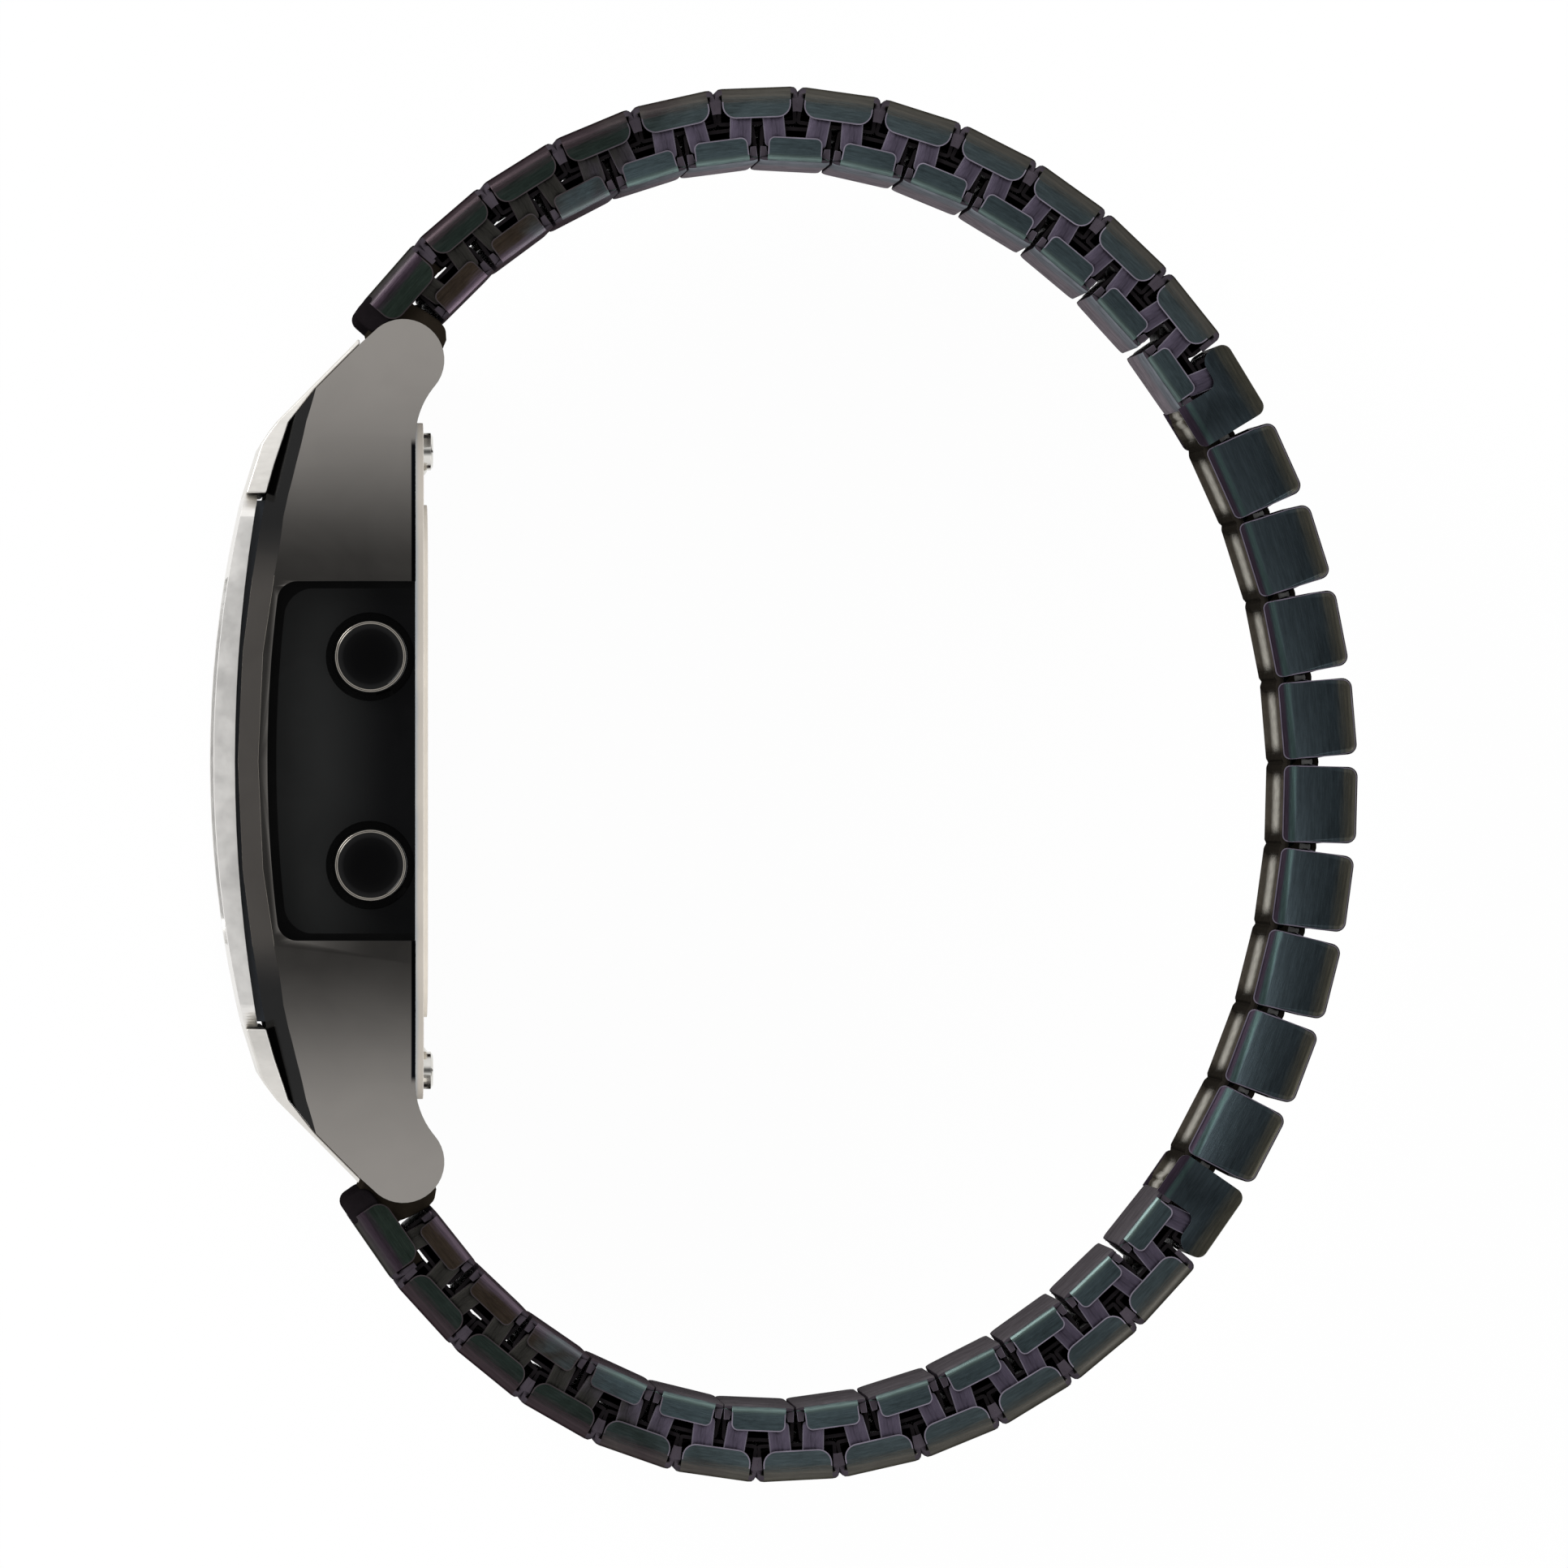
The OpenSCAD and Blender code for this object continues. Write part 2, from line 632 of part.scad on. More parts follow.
module back_screws() {
    head_h = panel_t - screw_head_t;
    color(silver) head() screw_places() difference() {
        union() {
            translate([0, 0, head_h + 0.1]) cylinder(r = screw_head_r, h = screw_head_t - 0.1);
            translate([0, 0, head_h]) cylinder(r1 = screw_head_r - 0.16, r2 = screw_head_r, h = 0.1);
            translate([0, 0, panel_t - over]) cylinder(r = screw_r, h = screw_len);
        }
        for (a = [0, 90]) rotate([0, 0, a]) plate(1, 0.22, head_h - 1, head_h + 0.25);
    }
}

// Push button on side s (1 is 3 o'clock) and end e (1 is 12 o'clock)
module button(s, e) {
    top = bay_x + 1.25;
    skirt = well_floor_x + 0.15 + button_travel;
    groove = cavity_w / 2 - 0.3;
    color(black_steel) head() translate([0, e * button_span / 2, button_h]) rotate([0, s * 90, 0]) {
        // Head and stem
        difference() {
            union() {
                translate([0, 0, skirt]) cylinder(r = button_r, h = top - skirt - 0.15);
                translate([0, 0, top - 0.15]) cylinder(r1 = button_r, r2 = button_r - 0.08, h = 0.15);
                translate([0, 0, contact_x + contact_t]) cylinder(r = stem_r, h = skirt - contact_x);
            }
            translate([0, 0, top - 0.12]) cylinder(r = button_r - 0.2, h = 1);
            difference() {
                translate([0, 0, groove]) cylinder(r = stem_r + 1, h = 0.22);
                translate([0, 0, groove - 1]) cylinder(r = stem_r - 0.25, h = 3);
            }
        }
        // Clip that keeps the button in the case
        translate([0, 0, groove + 0.02]) difference() {
            cylinder(r = stem_r + 0.45, h = 0.18);
            translate([0, 0, -1]) cylinder(r = stem_r - 0.25 + 0.02, h = 3);
            translate([0, stem_r + 0.2, 0]) cube([0.7, 2, 1], center = true);
        }
    }
}

module button_seals() {
    ring_r = 0.22;
    color([0.08, 0.08, 0.08]) head() button_places()
        translate([0, 0, well_floor_x - 0.9 + ring_r + 0.03])
            rotate_extrude() translate([stem_r + ring_r + 0.02, 0]) circle(r = ring_r, $fn = 24);
}

// Spring bar at end e of the case: a barrel with two sprung tips
module spring_bar(e) {
    barrel = 2 * lug_inner - 0.3;
    tip_reach = lug_inner + bar_tip_len - 0.25;
    color([0.6, 0.6, 0.6]) head() translate([0, e * bar_y, bar_h]) rotate([0, 90, 0]) {
        difference() {
            cylinder(r = bar_r, h = barrel, center = true);
            for (s = [-1, 1]) translate([0, 0, s * barrel / 2])
                cylinder(r = bar_tip_r + 0.03, h = 8, center = true);
        }
        for (s = [-1, 1]) translate([0, 0, s * (tip_reach - (tip_reach - barrel / 2 + 3) / 2)])
            cylinder(r = bar_tip_r, h = tip_reach - barrel / 2 + 3, center = true);
    }
}

// The bracelet's links

// Outline of a cover's flap: x from x0 to x1, down to a depth, with round lower corners
module flap_outline(x0, x1, depth, r, lip) {
    polygon(concat(
        arc([x0 + lip, -lip], lip, 180, 90, 3),
        arc([x1 - lip, -lip], lip, 90, 0, 3),
        arc([x1 - r, r - depth], r, 0, -90, 4),
        arc([x0 + r, r - depth], r, -90, -180, 4)));
}

// Bent sheet cover: a top plate and two side flaps, with rounded bends
module cover(x0, x1, flap_x0, flap_x1, depth, r, lip) {
    bend = 0.45;
    intersection() {
        difference() {
            translate([0, 0, -half_w]) linear_extrude(height = band_w) union() {
                flap_outline(flap_x0, flap_x1, depth, r, lip);
                intersection() {
                    flap_outline(x0, x1, 1.2, 0.3, lip);
                    translate([x0, -sheet_t]) square([x1 - x0, sheet_t]);
                }
            }
            translate([x0 - 1, -depth - 1, -half_w + sheet_t])
                cube([x1 - x0 + 2, depth + 1 - sheet_t, band_w - 2 * sheet_t]);
        }
        // Rounds the long edges where the sheet turns down
        rotate([0, 90, 0]) translate([0, 0, x0 - 1]) linear_extrude(height = x1 - x0 + 2) union() {
            translate([-half_w, -depth - 1]) square([band_w, depth + 1 - bend]);
            translate([bend - half_w, -depth - 1]) square([band_w - 2 * bend, depth + 1]);
            for (s = [-1, 1]) translate([s * (half_w - bend), -bend]) circle(r = bend, $fn = 32);
        }
    }
}

// Square tube across the bracelet
module sleeve(w, y0, y1, wall) {
    difference() {
        translate([-w / 2, y0, -sleeve_end]) cube([w, y1 - y0, 2 * sleeve_end]);
        translate([wall - w / 2, y0 + wall, -sleeve_end - 1])
            cube([w - 2 * wall, y1 - y0 - 2 * wall, 2 * sleeve_end + 2]);
    }
}

// Bowed leaf spring in a sleeve, between heights y0 and y1; bow says which way it bulges
module leaf_spring(w, y0, y1, bow) {
    t = 0.1;
    n = 6;
    h = y1 - y0 - t;
    mid = (y0 + y1) / 2;
    low = [for (i = [0 : n]) let (u = 2 * i / n - 1)
        [u * w / 2, mid + bow * h * (0.5 - u * u) - t / 2]];
    translate([0, 0, -4.9]) linear_extrude(height = 9.8)
        polygon(concat(low, [for (i = [n : -1 : 0]) low[i] + [0, t]]));
}

// Sleeve with its leaf spring, from height y0 up to y1
module sprung_sleeve(w, y0, y1, bow) {
    color(plum_ip) sleeve(w, y0, y1, sleeve_t);
    color(silver) leaf_spring(w - 2 * sleeve_t - 0.1, y0 + sleeve_t + 0.01, y1 - sleeve_t - 0.01, bow);
}

module outer_link(k) {
    top = -sheet_t - slip;
    at_link(k) {
        color(dark_ip) cover(-cover_w / 2, cover_w / 2,
            -outer_flap_w / 2, outer_flap_w / 2, outer_flap, 0.62, outer_lip);
        sprung_sleeve(sleeve_w, top - sleeve_h, top, 1);
    }
}

// Inner link half way between outer links k and k + 1
module inner_link(k) {
    low = -band_t + sheet_t + slip / 2;
    at_link(k + 0.5) {
        color(dark_ip) translate([0, -band_t, 0]) mirror([0, 1, 0])
            cover(-inner_cover_w / 2, inner_cover_w / 2,
                -inner_flap_w / 2, inner_flap_w / 2, inner_flap, 0.32, outer_lip);
        sprung_sleeve(inner_sleeve_w, low, low + sleeve_h, -1);
    }
}

// Flat staple from point a to point b, with a leg into the sleeve at each end
module staple(a, b, side) {
    d = b - a;
    span = norm(d);
    tail = 0.3;
    translate([a[0], a[1], 0]) rotate([0, 0, atan2(d[1], d[0])]) union() {
        translate([-tail, -staple_w / 2, side > 0 ? sleeve_end + slip : -sleeve_end - slip - staple_t])
            cube([span + 2 * tail, staple_w, staple_t]);
        for (x = [0, span]) translate([x, 0, side * (sleeve_end + slip + over - leg_len / 2)])
            cylinder(r = leg_r, h = leg_len, center = true, $fn = 16);
    }
}

// The four staples that join outer links k and k + 1 to the inner link between them
module staples_of_gap(k) {
    for (side = [-1, 1], e = [0, 1]) {
        x = e == 0 ? 1 : -1;
        staple(in_link(k + e, x * outer_leg_x, -leg_depth),
            in_link(k + 0.5, -x * inner_leg_x, -inner_leg_depth), side);
    }
}

// End link: it turns on the spring bar between the lugs and reaches over it on both faces.
// Along the loop the bracelet runs on in the direction way
module end_link(k, way) {
    a = loop_heading(link_t(k));
    p = in_link(k, 0, 0);
    // The spring bar seen from the link's own frame
    away = [-bar_h - p[0], way * bar_y - p[1]];
    bx = way * (away[0] * cos(a) + away[1] * sin(a));
    by = away[1] * cos(a) - away[0] * sin(a);
    top = -sheet_t - slip;
    hood = 2.75;
    at_link(k) mirror([way < 0 ? 1 : 0, 0, 0]) {
        color(dark_ip) cover(-hood, cover_w / 2, -hood, outer_flap_w / 2, outer_flap, 0.62, outer_lip);
        color(plum_ip) difference() {
            union() {
                translate([bx, by, 0]) cylinder(r = knuckle_r, h = 2 * sleeve_end, center = true);
                translate([0, 0, -sleeve_end]) linear_extrude(height = 2 * sleeve_end)
                    polygon([[0.3 - hood, top], [sleeve_w / 2, top],
                             [sleeve_w / 2, top - sleeve_h], [-0.3, top - sleeve_h],
                             [-0.15, -2.3], [-0.05, -3.2], [-0.15, -3.65], [-0.5, -4], [-1.1, -4.2],
                             [bx + 0.25, by - knuckle_r + 0.03],
                             [bx - knuckle_r * 0.85, by + knuckle_r * 0.5]]);
            }
            translate([bx, by, 0]) cylinder(r = bar_r + slip, h = band_w + 2, center = true);
            // Room for the staple legs
            translate([0.2, top - sleeve_h + sleeve_t, -sleeve_end - 1])
                cube([sleeve_w / 2 - 0.2 - sleeve_t, sleeve_h - 2 * sleeve_t, 2 * sleeve_end + 2]);
        }
    }
}

// Middle of the gap after link k, where a hinge pin lies
function pin_place(k) = in_link(k + 0.5, 0, -pin_depth);

// Hinge ears of a closed link, round the pins of the gap at k
module ear(k, z0, z1) {
    p = pin_place(k);
    translate([p[0], p[1], z0]) cylinder(r = ear_r, h = z1 - z0);
}

module ear_room(k, z0, z1) {
    p = pin_place(k);
    translate([p[0], p[1], z0]) cylinder(r = ear_r + 0.1, h = z1 - z0);
}

module ears_out(k) {
    ear(k, -ear_split, ear_split);
}

module ears_back(k) {
    for (s = [-1, 1]) mirror([0, 0, s < 0 ? 1 : 0]) ear(k, ear_split + 0.1, sleeve_end - 0.1);
}

// Square tube with hinge ears; out and back say which gaps carry them
module liner(k, x0, x1, y_low, out, back) {
    top = -sheet_t - slip;
    wall = 0.3;
    difference() {
        union() {
            difference() {
                at_link(k) difference() {
                    translate([x0, y_low, -sleeve_end]) cube([x1 - x0, top - y_low, 2 * sleeve_end]);
                    translate([x0 + wall, y_low + wall, -sleeve_end - 1])
                        cube([x1 - x0 - 2 * wall, top - y_low - 2 * wall, 2 * sleeve_end + 2]);
                }
                // Room for the neighbours' ears
                if (out) for (s = [-1, 1]) mirror([0, 0, s < 0 ? 1 : 0])
                    ear_room(k, ear_split + 0.05, sleeve_end + 1);
                if (back) ear_room(k - 1, -ear_split - 0.05, ear_split + 0.05);
            }
            if (out) ears_out(k);
            if (back) ears_back(k - 1);
        }
        if (out) pin_bore(k);
        if (back) pin_bore(k - 1);
    }
}

module pin_bore(k) {
    p = pin_place(k);
    translate([p[0], p[1], 0]) cylinder(r = pin_r + slip, h = band_w + 2, center = true);
}

// Joint link: half an expansion link on one side, half a closed link on the other
module joint_link_at(k, way) {
    w = joint_cover_w / 2;
    top = -sheet_t - slip;
    // The flap steps down to the full depth at this line, with a round corner
    step_x = -0.3;
    step_r = 0.4;
    corner_r = 0.6;
    at_link(k) mirror([way < 0 ? 1 : 0, 0, 0]) {
        color(dark_ip) difference() {
            cover(-w, w, -w, w, band_t, 0.35, closed_lip);
            translate([0, 0, -half_w - 1]) linear_extrude(height = band_w + 2)
                polygon(concat([[-9, -9], [step_x, -9]],
                    arc([step_x - step_r, -outer_flap - step_r], step_r, 0, 90, 5),
                    arc([corner_r - w, corner_r - outer_flap], corner_r, -90, -180, 5),
                    [[-9, corner_r - outer_flap]]));
        }
        translate([-0.85, 0, 0]) color(plum_ip) sleeve(1.7, top - sleeve_h, top, sleeve_t);
    }
    color(plum_ip)
        liner(k, way > 0 ? 0.25 : 0.1 - w, way > 0 ? w - 0.1 : -0.25, 0.05 - band_t, way > 0, way < 0);
}

first_back = joint_link + 1;
last_back = joint_link + back_links;

module back_link_covers() {
    color(dark_ip) for (k = [first_back : last_back]) at_link(k)
        cover(-closed_w / 2, closed_w / 2, -closed_w / 2, closed_w / 2 - 0.25, back_flap, 0.3, closed_lip);
}

module back_link_liners() {
    color([0.3, 0.29, 0.26]) for (k = [first_back : last_back])
        liner(k, 0.03 - closed_w / 2, closed_w / 2 - 0.03, -band_t, true, true);
}

module back_link_pins() {
    color(silver) for (k = [joint_link : last_back]) {
        p = pin_place(k);
        translate([p[0], p[1], 0]) cylinder(r = pin_r, h = 2 * sleeve_end - 0.3, center = true);
    }
}

module upper_staples() {
    color(plum_ip) for (k = [0 : joint_link - 1]) staples_of_gap(k);
}

module lower_staples() {
    color(plum_ip) for (k = [last_back + 1 : link_count - 2]) staples_of_gap(k);
}

case_body();
lug_plates();
bezel();
bezel_seal();
crystal();
dial_mask();
lcd_glass();
lcd_digits();
light_panel();
contact_strips();
display_frame();
circuit_board();
board_parts();
module_frame();
battery();
battery_clip();
buzzer();
button_contacts();
case_back();
back_gasket();
back_screws();
button_seals();
spring_bar(1);  // upper_spring_bar
spring_bar(-1);  // lower_spring_bar
button(1, 1);  // upper_right_button
button(1, -1);  // lower_right_button
button(-1, 1);  // upper_left_button
button(-1, -1);  // lower_left_button
union() {  // upper_end_link
    end_link(0, 1);
    inner_link(0);
}
union() {  // lower_end_link
    end_link(link_count - 1, -1);
    inner_link(link_count - 2);
}
// Expansion links, numbered from each spring bar towards the back of the loop
for (k = [1 : expansion_links]) {
    number = str(k + 1 < 10 ? "0" : "", k + 1);
    union() {
        outer_link(k);
        inner_link(k);
    }
    union() {
        outer_link(link_count - 1 - k);
        inner_link(link_count - 2 - k);
    }
}
joint_link_at(joint_link, 1);  // upper_joint_link
joint_link_at(last_back + 1, -1);  // lower_joint_link
back_link_covers();
back_link_liners();
back_link_pins();
upper_staples();
lower_staples();
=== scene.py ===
# %% [markdown]
# # A digital wristwatch on an expansion bracelet
#
# The watch lies on its side, so one looks along the width of the bracelet. The solids that carry
# its sizes and joints are loaded first as a fixed frame. The links are modelled afresh, because
# their bent sheet, curled ends and brushed coating are what the eye meets, and the head's solids
# get softened edges and finishes.

import json
import math

import bmesh
import bpy
from mathutils import Matrix, Vector
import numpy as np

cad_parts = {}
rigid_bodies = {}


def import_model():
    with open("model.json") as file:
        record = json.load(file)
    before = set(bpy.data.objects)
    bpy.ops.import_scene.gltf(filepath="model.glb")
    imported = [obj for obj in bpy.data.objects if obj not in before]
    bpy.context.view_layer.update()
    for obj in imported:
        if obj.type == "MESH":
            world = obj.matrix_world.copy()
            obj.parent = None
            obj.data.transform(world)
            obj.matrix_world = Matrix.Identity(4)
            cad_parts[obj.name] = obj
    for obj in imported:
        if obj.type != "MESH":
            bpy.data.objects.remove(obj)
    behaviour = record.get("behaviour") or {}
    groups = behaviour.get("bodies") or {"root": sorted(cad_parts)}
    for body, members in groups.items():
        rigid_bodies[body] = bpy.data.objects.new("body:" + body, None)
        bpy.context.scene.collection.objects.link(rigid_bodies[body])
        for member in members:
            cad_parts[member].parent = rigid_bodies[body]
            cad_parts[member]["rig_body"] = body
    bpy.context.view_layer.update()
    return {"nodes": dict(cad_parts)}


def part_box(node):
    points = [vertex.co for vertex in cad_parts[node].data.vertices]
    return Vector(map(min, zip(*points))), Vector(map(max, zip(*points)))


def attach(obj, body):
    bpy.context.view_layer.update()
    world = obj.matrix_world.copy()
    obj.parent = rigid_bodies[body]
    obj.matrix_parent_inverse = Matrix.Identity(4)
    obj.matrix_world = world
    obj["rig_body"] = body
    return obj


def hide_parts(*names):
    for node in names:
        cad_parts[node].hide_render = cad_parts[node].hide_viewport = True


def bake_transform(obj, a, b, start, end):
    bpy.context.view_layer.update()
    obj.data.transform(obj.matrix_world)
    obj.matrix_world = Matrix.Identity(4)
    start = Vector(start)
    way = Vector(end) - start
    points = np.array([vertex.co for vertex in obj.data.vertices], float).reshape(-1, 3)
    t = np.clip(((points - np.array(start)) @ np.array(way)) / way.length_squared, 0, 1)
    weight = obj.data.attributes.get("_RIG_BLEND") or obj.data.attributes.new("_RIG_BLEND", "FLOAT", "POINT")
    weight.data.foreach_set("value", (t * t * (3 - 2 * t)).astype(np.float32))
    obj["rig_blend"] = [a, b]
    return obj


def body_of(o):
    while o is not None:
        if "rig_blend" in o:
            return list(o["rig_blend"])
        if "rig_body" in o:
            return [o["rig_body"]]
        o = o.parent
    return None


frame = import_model()
MM = 0.001
print("nodes in the frame:", len(frame["nodes"]))

# %% [markdown]
# ## Where each link stands
#
# The closed bracelet follows one smooth line, four quarter ellipses that share their widest line.
# Every link is modelled once, flat on its own axes, and then set down on this line. A function
# gives the place and heading of link number k, where half numbers are the inner links between two
# outer ones. The numbers are those of the solids, in millimetres.

# %% The bracelet's line
LOOP_X, LOOP_RISE, LOOP_DROP = 15.7, 31.6, 1.05
REACH_BACK, REACH_UPPER, REACH_LOWER = 26.5, 25.7, 24.5
BAR_Y, BAR_X, FIRST_RISE = 18.1, -1.15, 4.0
EXPANSION, CLOSED = 11, 9
BAND_W, BAND_T = 18.0, 3.45
LINKS = 2 * (EXPANSION + 2) + CLOSED
JOINT = EXPANSION + 1
STEPS = 720
# the closed links stand this much further apart
WIDER = 1.06


def reach(t):
    if math.cos(t) >= 0:
        return REACH_BACK
    return REACH_UPPER if math.sin(t) > 0 else REACH_LOWER


def line_point(t):
    return (LOOP_X + reach(t) * math.cos(t), LOOP_RISE * math.sin(t) - LOOP_DROP)


first = math.pi - math.asin((BAR_Y + FIRST_RISE + LOOP_DROP) / LOOP_RISE)
last = math.asin((BAR_Y + FIRST_RISE - LOOP_DROP) / LOOP_RISE) - math.pi
angles = [first + (last - first) * i / STEPS for i in range(STEPS + 1)]
walked = [0.0]
for one, two in zip(angles, angles[1:]):
    walked.append(walked[-1] + math.dist(line_point(one), line_point(two)))
PITCH = walked[-1] / (2 * EXPANSION + 1 + (CLOSED + 2) * WIDER)
BACK_PITCH = PITCH * WIDER


def distance_to(k):
    if k > (LINKS - 1) / 2:
        return walked[-1] - distance_to(LINKS - 1 - k)
    wider = (BACK_PITCH - PITCH) * (max(0, min(k - JOINT + 1, 1)) / 2 + max(0, k - JOINT))
    return k * PITCH + wider


def line_angle(k):
    target = distance_to(k)
    i = min(range(STEPS), key=lambda n: abs(walked[n] + walked[n + 1] - 2 * target))
    share = (target - walked[i]) / (walked[i + 1] - walked[i])
    return angles[i] + (angles[i + 1] - angles[i]) * share


def heading(k):
    t = line_angle(k)
    return math.atan2(-LOOP_RISE * math.cos(t), reach(t) * math.sin(t))


def in_link(k, x, y):
    """A point of link k, x along the bracelet and y outwards, as row coordinates in millimetres."""
    px, py = line_point(line_angle(k))
    a = heading(k)
    return Vector((px + x * math.cos(a) - y * math.sin(a), py + x * math.sin(a) + y * math.cos(a)))


def place_of(k, flip=False):
    """The matrix that carries a flat link to its place; flip turns it end for end."""
    px, py = line_point(line_angle(k))
    turn = Matrix.Rotation(heading(k), 4, "Z")
    return Matrix.Translation((px * MM, py * MM, 0)) @ turn @ Matrix.Scale(-1 if flip else 1, 4, (1, 0, 0))


def in_flat(k, x, y, flip=False):
    """The row's point x, y as it lies in the flat frame of link k."""
    return place_of(k, flip).inverted() @ Vector((x * MM, y * MM, 0)) * 1000


print("links are", round(PITCH, 3), "mm apart, the closed ones", round(BACK_PITCH, 3))

# %% [markdown]
# ## The view
#
# The photograph looks along the width of the bracelet from a long way off, a degree or so from the
# dial's side, which is why the inner faces of the far links just show. A long lens far away gives
# the same near-parallel lines. The picture is 1932 pixels square and 27 of them cover a millimetre.

# %% Camera
PIXELS, PER_MM = 1932, 27.0
aim = Vector((16.41, -1.04, 0)) * MM
eye = Vector((-18.0, -1.0, 1350.0)) * MM
lens = bpy.data.cameras.new("long_lens")
lens.sensor_width = 36
lens.lens = 36 * (eye - aim).length / (PIXELS / PER_MM * MM)
lens.clip_start, lens.clip_end = 0.01, 20
camera = bpy.data.objects.new("camera", lens)
bpy.context.scene.collection.objects.link(camera)
look = (aim - eye).normalized()
right = look.cross(Vector((0, 1, 0))).normalized()
up = right.cross(look)
camera.matrix_world = Matrix.Translation(eye) @ Matrix((right, up, -look)).transposed().to_4x4()
bpy.context.scene.camera = camera
print("lens", round(lens.lens), "mm")

# %% [markdown]
# ## Light and ground
#
# A product studio for polished metal is mostly a white tent with a small dark hole for the lens.
# The world is that tent: white all round, and darker straight above the flank, so the curved
# polished flanks shade from grey at the lugs to nearly black in the middle. The floor is white to
# the eye and to reflections, with a little real paint mixed in that still takes the shadow.

# %% World and lamps


def srgb(text):
    """A colour as it is read off a picture, as the linear numbers that a shader takes."""
    parts = [int(text[i : i + 2], 16) / 255 for i in (0, 2, 4)]
    return tuple(c / 12.92 if c <= 0.04045 else ((c + 0.055) / 1.055) ** 2.4 for c in parts)


class Tree:
    """A node tree, with short ways to add nodes and to wire them."""

    def __init__(self, tree):
        self.nodes, self.links = tree.nodes, tree.links

    def put(self, socket, value):
        """Wires an output to the socket, or sets its value. A colour may be six hex digits."""
        if isinstance(value, str):
            value = srgb(value)
        if hasattr(value, "is_output"):
            self.links.new(value, socket)
        elif socket.type == "RGBA" and len(value) == 3:
            socket.default_value = (*value, 1)
        else:
            socket.default_value = value

    def node(self, kind, settings=None, **values):
        """A new shader node: first its settings, then its inputs by name."""
        node = self.nodes.new("ShaderNode" + kind)
        for title, value in (settings or {}).items():
            setattr(node, title, value)
        for title, value in values.items():
            self.put(node.inputs[title.replace("_", " ")], value)
        return node

    def filled(self, node, *values):
        """The node's first output, after values have gone to its inputs in order."""
        for socket, value in zip(node.inputs, values):
            self.put(socket, value)
        return node.outputs[0]

    def maths(self, operation, *values):
        return self.filled(self.node("Math", {"operation": operation}), *values)

    def axis(self, place, name):
        return self.node("SeparateXYZ", Vector=place).outputs[name]

    def mixed(self, share, first, second):
        return self.filled(self.node("MixShader"), share, first, second)


world = bpy.data.worlds.new("tent")
bpy.context.scene.world = world
world.use_nodes = True
sky = Tree(world.node_tree)
sky.nodes.clear()
hole = sky.node("ValToRGB")
stops = [(0.0, 0.9), (0.866, 1.0), (0.906, 0.9), (0.94, 0.7), (0.961, 0.52), (0.978, 0.33),
         (0.9945, 0.15), (1.0, 0.1)]
while len(hole.color_ramp.elements) < len(stops):
    hole.color_ramp.elements.new(0.5)
for element, (at, level) in zip(hole.color_ramp.elements, stops):
    element.position = at
    element.color = (level, level, level * 1.01, 1)
light = sky.filled(hole, sky.axis(sky.node("TexCoord").outputs["Generated"], "Z"))
tent = sky.node("Background", Color=light).outputs[0]
plain = sky.node("Background", Color=(1, 1, 1)).outputs[0]
seen = sky.node("LightPath").outputs["Is Camera Ray"]
sky.node("OutputWorld", Surface=sky.mixed(seen, tent, plain))


def soft_lamp(name, place, size, watts):
    lamp = bpy.data.lights.new(name, "AREA")
    lamp.shape, lamp.size, lamp.energy = "DISK", size, watts
    holder = bpy.data.objects.new(name, lamp)
    bpy.context.scene.collection.objects.link(holder)
    holder.location = place
    toward = Vector((0.016, 0, 0)) - Vector(place)
    holder.rotation_euler = toward.to_track_quat("-Z", "Y").to_euler()


soft_lamp("key", (-0.35, 0.3, 0.42), 0.3, 1.6)
soft_lamp("fill", (0.45, -0.35, 0.3), 0.35, 0.8)
print("lamps: 2")

# %% Floor
FLOOR_Z, WHITE_SHARE = -17.02, 0.97
bpy.ops.object.select_all(action="DESELECT")
bpy.ops.mesh.primitive_plane_add(size=3, location=(0, 0, FLOOR_Z * MM))
floor = bpy.context.object
floor.name = "floor"
ground = bpy.data.materials.new("white_floor")
ground.use_nodes = True
top = Tree(ground.node_tree)
top.nodes.clear()
rays = top.node("LightPath").outputs
shown = top.maths("MAXIMUM", rays["Is Camera Ray"], rays["Is Glossy Ray"])
through = top.maths("MAXIMUM", shown, rays["Is Transmission Ray"])
paint = top.node("BsdfDiffuse", Color=(0.95, 0.95, 0.95)).outputs[0]
white = top.node("Emission").outputs[0]
share = top.maths("MULTIPLY", through, WHITE_SHARE)
top.node("OutputMaterial", Surface=top.mixed(share, paint, white))
floor.data.materials.append(ground)
bpy.context.scene.view_settings.view_transform = "Standard"
print("floor at", FLOOR_Z, "mm")

# %% [markdown]
# ## Effects that several finishes share
#
# Brushed metal is a field of very fine parallel scratches, which is noise squeezed across the
# brushing and stretched along it. Handling leaves faint cloudy patches that change the gloss. Both
# are built once as node groups and placed in each finish with its own strength and direction.

# %% Node groups
# the bay's floor: radius term of its arched top, where its middle lies, and half its two sides
PANEL_SAG, PANEL_X, PANEL_HALVES = 120.0, 2.9, (3.98, 7.78)


def new_group(name, inputs, outputs, kind="Float"):
    """A node group with its tree, its inputs to read from and its outputs to fill, all of one kind."""
    group = bpy.data.node_groups.new(name, "ShaderNodeTree")
    for title, value in inputs.items():
        own = {1: "Float", 3: "Vector", 4: "Color"}[len(value) if isinstance(value, tuple) else 1]
        socket = group.interface.new_socket(title, in_out="INPUT", socket_type="NodeSocket" + own)
        socket.default_value = value
    for title in outputs:
        group.interface.new_socket(title, in_out="OUTPUT", socket_type="NodeSocket" + kind)
    tree = Tree(group)
    return group, tree, tree.nodes.new("NodeGroupInput").outputs, tree.nodes.new("NodeGroupOutput").inputs


